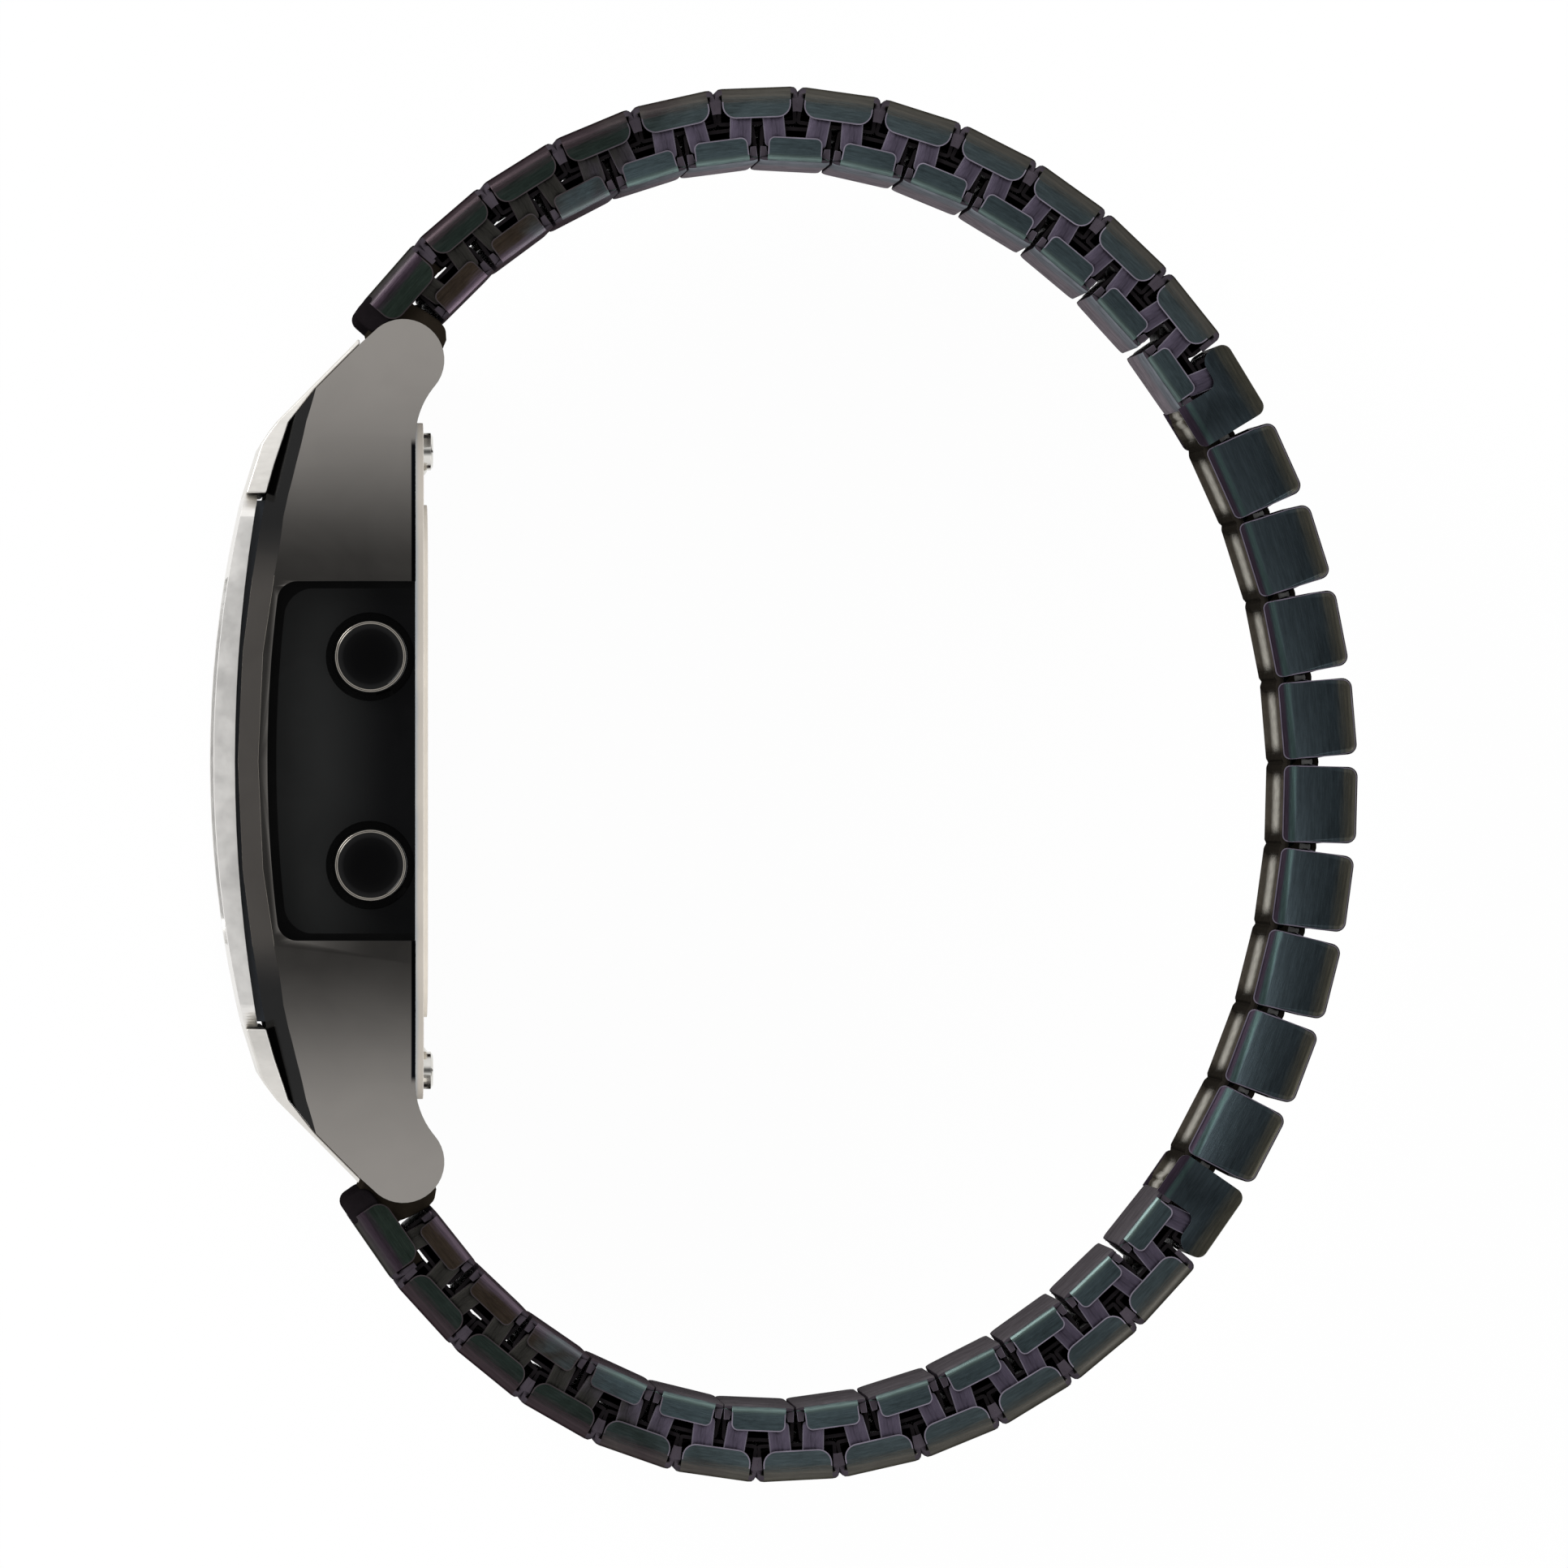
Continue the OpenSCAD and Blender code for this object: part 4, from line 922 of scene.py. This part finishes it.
def staple_pattern():
    near = SLEEVE_END + WEB_GAP
    web = start_box((-WEB_W / 2, -SPAN - WEB_END, near), (WEB_W / 2, WEB_END, near + WEB_T))
    edit()
    round_off("EDGE", lambda a, b: abs(a.z - b.z) > 0.1, 0.2, 4)
    leave()
    dress(web, staple_coat, rim_painted_highlight)
    soften(web, 0.045, 2, 40, rim=1)
    pieces = [web]
    for y in (0, -SPAN):
        leg = start_cylinder(0, y, SLEEVE_END + LEG_OUT - LEG_LEN, SLEEVE_END + LEG_OUT, LEG_R, 14)
        soften(leg, 0.05, 2, 50)
        dress(leg, staple_coat, rim_painted_highlight)
        pieces.append(leg)
    piece = join(*pieces)
    shade(piece)
    return piece


staple = staple_pattern()
# how deep in the tubes and how far from the links' middles the legs lie
LEG_SHARE, OUTER_REACH, INNER_REACH = 0.56, 0.72, 0.92
LEG_DEPTH = -TOP + SLEEVE_H * LEG_SHARE
INNER_LEG_DEPTH = -LOW - SLEEVE_H * LEG_SHARE


def set_staples(name, k_outer, k_inner, way, body, other, node):
    """Both staples, left and right, from outer link k_outer to inner link k_inner."""
    a = in_link(k_outer, way * OUTER_REACH, -LEG_DEPTH)
    run = in_link(k_inner, -way * INNER_REACH, -INNER_LEG_DEPTH) - a
    turn = math.atan2(run.y, run.x) + math.pi / 2
    piece = add_piece(name, staple.data.copy())
    for vertex in piece.data.vertices:
        if vertex.co.y < -SPAN * MM / 2:
            vertex.co.y -= (run.length - SPAN) * MM
    both = bmesh.new()
    both.from_mesh(piece.data)
    move(piece, Matrix.Scale(-1, 4, (0, 0, 1)))
    both.from_mesh(piece.data)
    both.to_mesh(piece.data)
    both.free()
    keep_flat_place(piece)
    move(piece, shift(a.x, a.y) @ Matrix.Rotation(turn, 4, "Z"))
    far = a + 2 * run
    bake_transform(piece, body, other, start=(a.x * MM, a.y * MM, 0), end=(far.x * MM, far.y * MM, 0))
    hand_over(piece, name, node)


print("staple", len(staple.data.polygons), "faces")

# %% [markdown]
# ## Setting the expansion links down
#
# Each half of the bracelet has the same chain: an end link on the spring bar, eleven expansion
# links and a joint link. An inner link hangs between two outer ones and moves half as far as
# they part, so it follows both bodies in equal shares.

# %% Expansion links and staples
# the depth of a link's middle, and a blend so long that both bodies have nearly equal shares
MIDDLE_DEPTH, LONG = 1.7, 40
for half, step in (("upper", 1), ("lower", -1)):
    bodies = [f"{half}_link_{n + 1:02d}" for n in range(EXPANSION + 1)] + [f"{half}_joint"]
    bodies[0] = f"{half}_end"
    for n, (body, after) in enumerate(zip(bodies, bodies[1:])):
        k = n if half == "upper" else LINKS - 1 - n
        middle, number = k + step / 2, f"{n + 1:02d}"
        node = body if n else f"{half}_end_link"
        if n:
            set_down(outer_link, f"{half}_outer_link_{number}", k, node, body)
        piece = set_down(inner_link, f"{half}_inner_link_{number}", middle, node)
        here, there = in_link(k, 0, -MIDDLE_DEPTH), in_link(k + step, 0, -MIDDLE_DEPTH)
        way = (there - here) * LONG * MM
        centre = (here + there) / 2 * MM
        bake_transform(piece, body, after, start=(*(centre - way), 0), end=(*(centre + way), 0))
        staples = f"{half}_staples"
        set_staples(f"{half}_near_staples_{number}", k, middle, step, body, after, staples)
        set_staples(f"{half}_far_staples_{number}", k + step, middle, -step, after, body, staples)
for pattern in (outer_link, inner_link, staple):
    bpy.data.objects.remove(pattern)
print("expansion links set down:", 2 * EXPANSION)

# %% [markdown]
# ## The end links
#
# An end link is half an expansion link. Its other half is a solid core with a round knuckle that
# turns on the spring bar, under a hood of the same bent sheet. The core is a slab cut to its side
# outline, so its rim points are set on the outline and the rim is extruded across the bracelet.

# %% End links
BAR_R, KNUCKLE_R, HOOD = 0.75, 1.15, 2.5
NOSE_R, NOSE_TOP, NOSE_LOW, NOSE_IN = 0.5, -0.02, -1.5, -1.3
UNDER = TOP - SLEEVE_H


def arc_points(cx, cy, r, a0, a1, n):
    turns = [math.radians(a0 + (a1 - a0) * i / n) for i in range(n + 1)]
    return [(cx + r * math.cos(t), cy + r * math.sin(t)) for t in turns]


def end_link(half, k, way):
    bx, by = in_flat(k, BAR_X, way * BAR_Y, way < 0).xy
    hood = bent_cover((-FLAP_W / 2, FLAP_W / 2), 1.75, (-FLAP_W / 2, COVER_W / 2), 0.7, 0.62, 0.34, end_coat)
    nose = start_outline(
        [(NOSE_IN, NOSE_TOP)] + arc_points(NOSE_R - HOOD, NOSE_TOP - NOSE_R, NOSE_R, 90, 180, 6)
        + arc_points(NOSE_R - HOOD, NOSE_LOW + NOSE_R, NOSE_R, 180, 270, 6) + [(NOSE_IN, NOSE_LOW)],
        0.1 - HALF, HALF - 0.1)
    soften(nose, 0.12, 3, 40)
    shade(nose)
    dress(nose, hood_coat)
    core = start_outline([
        (NOSE_R - HOOD, TOP), (COVER_W / 2 - 0.1, TOP), (COVER_W / 2 - 0.1, UNDER), (-0.3, UNDER),
        (-0.15, -2.3), (-0.05, -3.2), (-0.15, -3.65), (-0.5, -4.0), (-1.1, -4.2),
        (bx + 0.25, by - KNUCKLE_R + 0.03), (bx - KNUCKLE_R * 0.85, by + KNUCKLE_R * 0.5)],
        -SLEEVE_END, SLEEVE_END)
    soften(core, 0.12, 3, 30)
    knuckle = hollow_cylinder(bx, by, -SLEEVE_END, SLEEVE_END, KNUCKLE_R, BAR_R + 0.05, 48)
    soften(knuckle, 0.06, 2, 50)
    for part in (core, knuckle):
        dress(part, core_coat)
        shade(part)
    link = join(hood, nose, core, knuckle)
    keep_flat_place(link)
    move(link, place_of(k, way < 0))
    hand_over(link, f"{half}_end_link_dressed", f"{half}_end_link", f"{half}_end")
    print(link.name, len(link.data.polygons), "faces")


end_link("upper", 0, 1)
end_link("lower", LINKS - 1, -1)

# %% [markdown]
# ## The closed links
#
# Along the back of the wrist the links don't stretch. Each is a deep cap of bent sheet over a
# square tube, with round corners where it was pressed, and hinge ears round a pin at each side.
# The tube's inner face is slightly dished, so it lies soft on the skin; the small light on it is a painted
# highlight in its finish.

# %% Pressed caps
CLOSED_SIDE, CLOSED_FLAP, LIP, FOOT_R = (BACK_PITCH - 0.6) / 2, 3.35, 0.45, 0.3
# depths where the flap bends in, and the share of the width that it loses there
BENT_IN = ((2.72, 0.01), (2.9, 0.012), (3.06, 0.012), (3.2, 0.01))


def crown(side):
    """The top of a cap's outline, with a round shoulder at side and at minus side."""
    return arc_points(LIP - side, -LIP, LIP, 180, 90, 7) + arc_points(side - LIP, -LIP, LIP, 90, 0, 7)


def pressed_cap(outline, rim):
    """Sheet pressed over a block: flaps of that side outline, and a top that rounds into them."""
    piece = start_outline(outline[::-1], -HALF, HALF)
    dress(piece, closed_coat, rim)
    edit()
    drop_faces(lambda c, n: abs(n.z) < 0.5 and (n.y < 0.05 or c.y < -0.6))
    round_off("EDGE", lambda a, b: abs(a.z - b.z) < TINY and min(a.y, b.y) > -LIP - 0.005
              and abs(abs(a.z) - HALF) < TINY and abs(a.x - b.x) > 0.001, 0.43, 5)
    leave()
    return piece


closed_cover = pressed_cap(
    crown(CLOSED_SIDE) + arc_points(CLOSED_SIDE - FOOT_R, FOOT_R - CLOSED_FLAP, FOOT_R, 0, -90, 5)
    + arc_points(FOOT_R - CLOSED_SIDE, FOOT_R - CLOSED_FLAP, FOOT_R, -90, -180, 5), closed_rim)
edit()
for depth, inward in BENT_IN:
    ops.mesh.select_all(action="SELECT")
    ops.mesh.bisect(plane_co=(0, -depth * MM, 0), plane_no=(0, 1, 0))
    pick("VERT", lambda p: p.y < TINY - depth)
    ops.transform.resize(value=(1, 1, 1 - inward), center_override=(0, 0, 0))
leave()
thicken(closed_cover, SHEET)
edit()
bare_rim(0.05, lambda c, n: n.z * c.z > 0.6 * abs(c.z), 1)
leave()
soften(closed_cover, 0.05, 2, 50, rim=1)
shade(closed_cover)
keep_flat_place(closed_cover)
print("closed cover", len(closed_cover.data.polygons), "faces")

# %% Lining tubes and hinge ears
PIN_DEPTH, EAR_R, PIN_R, EAR_SPLIT = 2.3, 0.58, 0.3, 4.0
LINING_T, DISHED, DISH_RIM = 0.18, 0.14, 0.3


def lining(x0, x1, y_low, flare):
    """A square tube across the link, wider by flare at its dished inner face."""
    tube = start_box((x0, y_low, -SLEEVE_END), (x1, TOP, SLEEVE_END))
    edit()
    drop_faces(lambda c, n: abs(n.z) > FACING)
    pick("VERT", lambda p: p.y < -2)
    ops.transform.resize(value=(flare, 1, 1), center_override=((x0 + x1) / 2 * MM, 0, 0))
    round_off("EDGE", lambda a, b: abs(a.z - b.z) > 1 and a.y < -2, 0.2, 4)
    pick("FACE", lambda c, n: n.y < -FACING)
    ops.mesh.inset(thickness=DISH_RIM * MM, use_boundary=True)
    ops.transform.translate(value=(0, DISHED * MM, 0))
    leave()
    thicken(tube, LINING_T)
    soften(tube, 0.04, 2, 25)
    shade(tube, 60)
    return tube


def ear(k, gap, z0, z1):
    """A short tube round the pin of a gap, in the flat frame of link k."""
    pin = in_flat(k, *in_link(gap, 0, -PIN_DEPTH))
    ring = hollow_cylinder(pin.x, pin.y, z0, z1, EAR_R, PIN_R + 0.04, 24)
    soften(ring, 0.04, 1, 50)
    shade(ring)
    return ring


def lined(k, x0, x1, y_low, out, back, flare=1.0):
    """A lining with one long ear at the gap ahead of link k, two short ones at the gap behind, or both."""
    parts = [lining(x0, x1, y_low, flare)]
    if out:
        parts.append(ear(k, k + 0.5, -EAR_SPLIT, EAR_SPLIT))
    if back:
        for side in (-1, 1):
            parts.append(ear(k, k - 0.5, *sorted((side * (EAR_SPLIT + 0.1), side * (SLEEVE_END - 0.1)))))
    piece = join(*parts)
    dress(piece, liner_metal)
    keep_flat_place(piece)
    move(piece, place_of(k))
    return piece


for n in range(CLOSED):
    k, number = JOINT + 1 + n, f"{n + 1:02d}"
    set_down(closed_cover, f"closed_cover_{number}", k, "back_link_covers",
             "back_section")
    tube = lined(k, 0.08 - CLOSED_SIDE, CLOSED_SIDE - 0.08, -BAND_T, True, True, 1.1)
    hand_over(tube, f"closed_lining_{number}", "back_link_liners", "back_section")
bpy.data.objects.remove(closed_cover)
print("closed links set down:", CLOSED)

# %% [markdown]
# ## The joint links
#
# Where the springy part meets the closed part stands a link that is half of each: on one side a
# short flap with a round corner, on the other the full depth. The sheet steps between them in an
# S. Its side outline is drawn once with that step, and pressed as the closed covers are.

# %% Joint links
JOINT_SIDE, STEP_X, JOINT_TUBE_W = 1.825, -0.3, 1.7
# radii of the deep side's foot, of the step and of the flap's corner
TOE_R, STEP_R, CORNER_R = 0.35, 0.4, 0.6


def joint_link(half, k, way):
    outline = (crown(JOINT_SIDE) + arc_points(JOINT_SIDE - TOE_R, TOE_R - BAND_T, TOE_R, 0, -90, 5)
               + [(STEP_X, -BAND_T)] + arc_points(STEP_X - STEP_R, -FLAP_H - STEP_R, STEP_R, 0, 90, 5)
               + arc_points(CORNER_R - JOINT_SIDE, CORNER_R - FLAP_H, CORNER_R, -90, -180, 6))
    cap = pressed_cap(outline, rim_painted_highlight)
    thicken(cap, SHEET)
    soften(cap, 0.05, 2, 50, rim=1)
    shade(cap)
    tube = tube_with_spring(JOINT_TUBE_W, UNDER, TOP, 1)
    move(tube, shift(-JOINT_TUBE_W / 2, 0))
    link = join(cap, tube)
    keep_flat_place(link)
    move(link, place_of(k, way < 0))
    x0, x1 = (0.25, JOINT_SIDE - 0.1) if way > 0 else (0.1 - JOINT_SIDE, -0.25)
    link = join(link, lined(k, x0, x1, 0.05 - BAND_T, way > 0, way < 0))
    hand_over(link, f"{half}_joint_link_dressed", f"{half}_joint_link", f"{half}_joint")
    print(link.name, len(link.data.polygons), "faces")


joint_link("upper", JOINT, 1)
joint_link("lower", LINKS - 1 - JOINT, -1)

# %% [markdown]
# ## The head
#
# The case is milled and polished, so its solids already have the right faces. What they lack is
# the tiny rounding that every real edge has, and that draws a bright line of light. A copy of each
# solid has its loose triangles merged and its flat faces dissolved, then a bevel rounds the edges.

# %% Softened copies of the head's solids


def softened(node, width, segments=3, rim=-1):
    """A copy of a solid with its edges rounded. rim is the number of the finish of the new faces."""
    source = frame["nodes"][node]
    piece = add_piece(node + "_dressed", source.data.copy())
    piece.data.materials.clear()
    choose(piece)
    edit()
    ops.mesh.select_all(action="SELECT")
    ops.mesh.remove_doubles(threshold=MERGE)
    ops.mesh.dissolve_limited(angle_limit=math.radians(0.5))
    leave()
    if rim > 0:
        dress(piece, *[None] * (rim + 1))
    shade(piece, 30)
    soften(piece, width, segments, 28, rim, harden=True)
    print(piece.name, len(piece.data.polygons), "faces")
    return hand_over(piece, piece.name, node, body_of(source)[0])


EDGE_NUMBER = 4
case = softened("case_body", 0.08, rim=EDGE_NUMBER)
plates = softened("lug_plates", 0.08)
bezel = softened("bezel", 0.12)
case_back = softened("case_back", 0.05, 2)
screws = softened("back_screws", 0.03, 2)
crystal = softened("crystal", 0.12)

# %% [markdown]
# ## Finishes of the case
#
# The flanks are polished steel under a dark coat, warm grey where they reflect the tent; that
# reflection is also painted into their colour as a fade from the lugs. The long facet under the
# bezel and the button bays are glossy black, with painted shade in the facet towards the lugs and
# round the bay's floor. Thin edge lines are a painted highlight and painted shade. Each is one
# material, and faces are given theirs by where they lie and which way they look, as a polisher
# masks a case.

# %% Case finishes


def polished_coat(name, colour, rough, fade=None, across="X", ragged=0.6, metallic=1.0, **sockets):
    """Polished and coated steel: faint clouds, a few hairlines, and a colour that may fade one way."""
    f = Finish(name, metallic=metallic, roughness=rough, **sockets)
    place = f.row_place()
    patches = f.clouds(place, 0.35)
    scratches = f.brushed(place, (0.5, 5.0, 5.0), 6.0)[0]
    if fade:
        where = f.axis(place, across)
        if across == "Y":
            where = f.maths("ABSOLUTE", where)
        colour = f.zone(where, fade[0], fade[1], colour, fade[2], patches, ragged)
    gloss = [(patches, rough - 0.02, rough + 0.03), (scratches, -0.015, 0.015)]
    return f.finished(colour, [(patches, 0.96, 1.04), (scratches, 0.97, 1.03)], gloss, scratches, 0.04)


def polished_flank():
    """The flanks' colour is a painted reflection, light at the lugs and fading evenly towards the button
    bay, with a painted shadow, near black, along the back edge beside the bay.
    """
    f = Finish("polished_flank", roughness=0.14)
    place = f.row_place()
    patches = f.clouds(place, 0.35)
    along = f.maths("ABSOLUTE", f.axis(place, "Y"))
    painted_reflection_tone = f.zone(along, 11.0, 20.0, "76736f", "8e8a85", patches, 0.2)
    # painted shadow: near black along the flank's back edge beside the bay
    back = f.zone(f.axis(place, "X"), -0.84, -0.78, painted_reflection_tone, "0c0d10")
    seen = f.zone(along, 14.2, 14.6, back, painted_reflection_tone)
    return f.finished(seen, [(patches, 0.98, 1.02)], [(patches, 0.12, 0.16)])


def bay_panel():
    """The bay's floor: a painted reflection that fades from lighter to darker along it, and near-black
    painted shade round its border where the rounded foot of the walls meets it.
    """
    f = Finish("glossy_bay", metallic=0.0, roughness=0.16, Specular_IOR_Level=0.2)
    place = f.row_place()
    patches = f.clouds(place, 0.4)
    inside = f.group(PANEL, Place=place, Corner=1.15)["Inside"]
    # upper fades to lower along the floor as a painted reflection; border is painted shade at the foot of
    # the walls
    upper, lower, border = (0.0138, 0.0142, 0.014), (0.002, 0.0021, 0.0023), (0.0012, 0.0012, 0.0012)
    painted_reflection_tone = f.zone(f.axis(place, "X"), -5.2, -1.4, upper, lower, patches, 0.3)
    both = f.zone(inside, 0.2, 0.8, border, painted_reflection_tone)
    return f.finished(both, [(patches, 0.97, 1.03)], [(patches, 0.14, 0.2)])


def brushed_steel(name, colour, rough, along):
    f = Finish(name, roughness=rough)
    place = f.row_place()
    scratches, patches = f.brushed(place, along, 8.0)[0], f.clouds(place, 0.4)
    gloss = [(scratches, rough - 0.08, rough + 0.08), (patches, -0.03, 0.03)]
    return f.finished(colour, [(scratches, 0.95, 1.05), (patches, 0.95, 1.03)], gloss, scratches, 0.2)


case_finishes = [
    polished_flank(),
    # the facet fades to near black towards the lugs: painted shade
    polished_coat("dark_facet", "4a4744", 0.16, (7.5, 10.5, "262626"), "Y"),
    bay_panel(),
    polished_coat("machined_inside", "6a6764", 0.42),
    # edge lines: a painted highlight at the front and by the bay, painted shade along the other outer edges
    polished_coat("bright_edge", "c9c2b6", 0.2),
    polished_coat("shadowed_edge", (0.004, 0.004, 0.005), 0.3, metallic=0.0, Specular_IOR_Level=0.1),
]
FACET, BAY, INSIDE, BRIGHT, SHADOWED = range(1, 6)
print("case finishes:", len(case_finishes))

# %% Masking the case
BUTTON_X, BUTTON_Y = -2.65, 4.7
BAY_HALF, BAY_TOP, BAY_INNER, BAY_OUTER, WELL_R = 8.11, -7.32, 11.0, 16.9, 2.15
OUTER_Z, CAVITY_Z, CAVITY_Y, SLOT_Y, SLOT_Z = 12, 12.2, 13.5, BAR_Y - 1.5, 9.3
dress(case, *case_finishes)
for face in case.data.polygons:
    c, n = face.center * 1000, face.normal
    on_edge = face.material_index == EDGE_NUMBER
    if abs(c.y) < BAY_HALF and BAY_TOP < c.x and BAY_INNER < abs(c.z) < BAY_OUTER:
        face.material_index = BAY
        face.use_smooth = on_edge or math.dist((c.x, abs(c.y)), (BUTTON_X, BUTTON_Y)) < WELL_R
    elif on_edge:
        # edges at the front and by the bay take the painted highlight, the other outer edges the painted
        # shade
        bright = n.x < 0.1 and (c.x < -8.3 or c.x < -6.3 and abs(c.y) < 8.3)
        dull = SHADOWED if abs(c.z) > OUTER_Z else INSIDE
        face.material_index = BRIGHT if bright and abs(c.y) < 12.2 else dull
    elif n.x < -0.35 and abs(n.z) > 0.3 and abs(c.z) > OUTER_Z:
        face.material_index = FACET
    elif abs(c.z) < CAVITY_Z and abs(c.y) < CAVITY_Y or abs(c.z) < SLOT_Z and abs(c.y) > SLOT_Y:
        face.material_index = INSIDE

dress(bezel, brushed_steel("brushed_bezel", "e9e7e3", 0.42, (6.0, 6.0, 0.3)))
dress(plates, brushed_steel("brushed_lug_plate", "e1ded8", 0.38, (4.0, 4.0, 0.3)))
dress(case_back, polished_coat("satin_case_back", "e2dfd8", 0.16),
      polished_coat("case_back_edge", "bcc6ce", 0.5, (-0.66, -0.38, "ece4d8"), ragged=0.05, metallic=0.0,
                    Specular_IOR_Level=0.1))
BACK_HALF_Y, BACK_HALF_Z = 11.475, 9.75
number_faces(case_back, 1, lambda c, n: n.x < 0.6 and (abs(c.y) > BACK_HALF_Y or abs(c.z) > BACK_HALF_Z))
dress(screws, polished_coat("chromed_screw", "d8d6d0", 0.1))
print("masked", len(case.data.polygons), "faces of the case")

# %% [markdown]
# ## The four push buttons
#
# Each button is turned on a lathe: a round head with a shallow dish, a thin polished rim that
# draws a bright ring, and a stem that goes through the case wall. It starts as a cylinder. Its
# rim is rounded, its top is inset again and again and lowered a little each time, and its
# underside is inset to the stem's size and extruded. One button is made and copied four times.

# %% Buttons
BUTTON_R, BUTTON_TOP, SKIRT, STEM_R = 1.65, 16.55, 14.45, 0.75
# how far in and how far down each ring of the dish lies from the one before
DISH = ((0.03, 0), (0.04, 0.035), (0.06, 0.03), (0.22, 0.03), (0.4, 0.02), (0.4, 0.01))
RING_IN, RING_OUT = 1.49, 1.59


def turned_button():
    stem_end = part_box("upper_right_button")[0].z * 1000
    piece = start_cylinder(BUTTON_X, BUTTON_Y, SKIRT, BUTTON_TOP, BUTTON_R, 96)
    edit()
    round_off("EDGE", lambda a, b: min(a.z, b.z) > BUTTON_TOP - TINY, 0.1, 4)
    pick("FACE", lambda c, n: n.z > 0.99 and c.z > BUTTON_TOP - TINY)
    for inward, down in DISH:
        ops.mesh.inset(thickness=inward * MM)
        ops.transform.translate(value=(0, 0, -down * MM))
    pick("FACE", lambda c, n: n.z < -0.99)
    ops.mesh.inset(thickness=(BUTTON_R - STEM_R) * MM)
    ops.mesh.extrude_region_move(TRANSFORM_OT_translate={"value": (0, 0, (stem_end - SKIRT) * MM)})
    ops.mesh.bevel(offset=0.08 * MM, segments=2, affect="EDGES")
    leave()
    shade(piece, 40)
    return piece


button = turned_button()
rim_finish = polished_coat("button_rim", "8f8a82", 0.13)
head_finish = polished_coat("button_black", (0.0016, 0.0016, 0.0017), 0.1, metallic=0.0,
                            Specular_IOR_Level=0.14)
dress(button, head_finish, rim_finish)
number_faces(button, 1, lambda c, n: c.z > BUTTON_TOP - 0.06
             and RING_IN < math.dist(c.xy, (BUTTON_X, BUTTON_Y)) < RING_OUT)
for name in ("upper_right", "lower_right", "upper_left", "lower_left"):
    piece = add_piece(name, button.data.copy())
    move(piece, Matrix.Diagonal((1, 1 if "upper" in name else -1, 1 if "right" in name else -1, 1)))
    hand_over(piece, f"{name}_push_button", f"{name}_button", f"{name}_button")
bpy.data.objects.remove(button)
print("buttons: 4")

# %% [markdown]
# ## What closes the front, and the module inside
#
# The crystal is domed mineral glass with faint wiping marks. Behind it lie a printed mask, the
# display with its segments, and the module. Few will see the inside, but each part is there and
# gets the finish it has on the bench: a green board, a rolled steel cell, brass springs.

# %% Glass
glass = Finish("mineral_crystal", metallic=0.0, Transmission_Weight=1.0, IOR=1.45)
glass.wire(Base_Color=(0.97, 0.98, 0.98))
glass.wire(Roughness=glass.spread(glass.clouds(glass.row_place(), 0.5), 0.01, 0.06))
dress(crystal, glass.material)
print("glass on", crystal.name)

# %% Finishes for the parts that keep their solids


def moulded(name, colour, rough, grain=0.06, metallic=0.0):
    """Moulded or plated small parts: fine grain in colour, gloss and relief."""
    f = Finish(name, metallic=metallic, roughness=rough)
    place = f.row_place()
    patches, fine = f.clouds(place, 3.0), f.brushed(place, (1, 1, 1), 30.0)[0]
    shades = [(patches, 1 - grain, 1 + grain), (fine, 1 - grain, 1 + grain)]
    return f.finished(colour, shades, [(fine, rough - 0.06, rough + 0.06)], fine, 0.15, 0.000008)


def layered(name, first, second, rough, axis, period):
    """Two materials in thin layers along one axis, as in a contact strip or a printed pattern."""
    f = Finish(name, metallic=0.0, roughness=rough)
    place = f.row_place()
    wave = f.maths("PINGPONG", f.axis(place, axis), period)
    layer = f.zone(wave, period * 0.4, period * 0.6, first, second)
    fine = f.brushed(place, (1, 1, 1), 20.0)[0]
    return f.finished(layer, [(fine, 0.92, 1.08)], [(fine, rough - 0.05, rough + 0.05)])


kept = {
    "bezel_seal": moulded("seal_rubber", (0.012, 0.016, 0.022), 0.35),
    "dial_mask": moulded("printed_mask", (0.012, 0.012, 0.014), 0.35, 0.1),
    "lcd_glass": layered("display_layers", "a3a998", "9ea493", 0.18, "Y", 0.12),
    "lcd_digits": moulded("display_segments", "23272a", 0.25, 0.1),
    "light_panel": moulded("light_panel", "e4e8e0", 0.5),
    "contact_strips": layered("layered_rubber", "d9a2ac", "3a2b2e", 0.6, "Y", 0.18),
    "display_frame": moulded("white_plastic", "dcdcd6", 0.45),
    "circuit_board": layered("circuit_board", "1f5a3a", "2f7450", 0.4, "Z", 0.9),
    "board_parts": moulded("chip_package", "26262a", 0.4, 0.15),
    "module_frame": moulded("dark_frame", "4a4a4c", 0.5),
    "battery": moulded("rolled_cell", "cfccc4", 0.3, 0.04, 1.0),
    "battery_clip": moulded("spring_brass", "c9a45a", 0.28, metallic=1.0),
    "buzzer": moulded("sounder_brass", "c2a566", 0.35, metallic=1.0),
    "button_contacts": moulded("contact_brass", "c9a860", 0.28, metallic=1.0),
    "back_gasket": moulded("gasket_rubber", (0.02, 0.02, 0.021), 0.5),
    "button_seals": moulded("button_seal_rubber", (0.02, 0.02, 0.021), 0.5),
    "upper_spring_bar": moulded("spring_bar_steel", "b5b3ae", 0.25, 0.04, 1.0),
    "lower_spring_bar": moulded("lower_spring_bar_steel", "b5b3ae", 0.25, 0.04, 1.0),
    "back_link_pins": pin_metal,
}
for node, material in kept.items():
    dress(frame["nodes"][node], material)
print("solids kept with a finish:", len(kept))
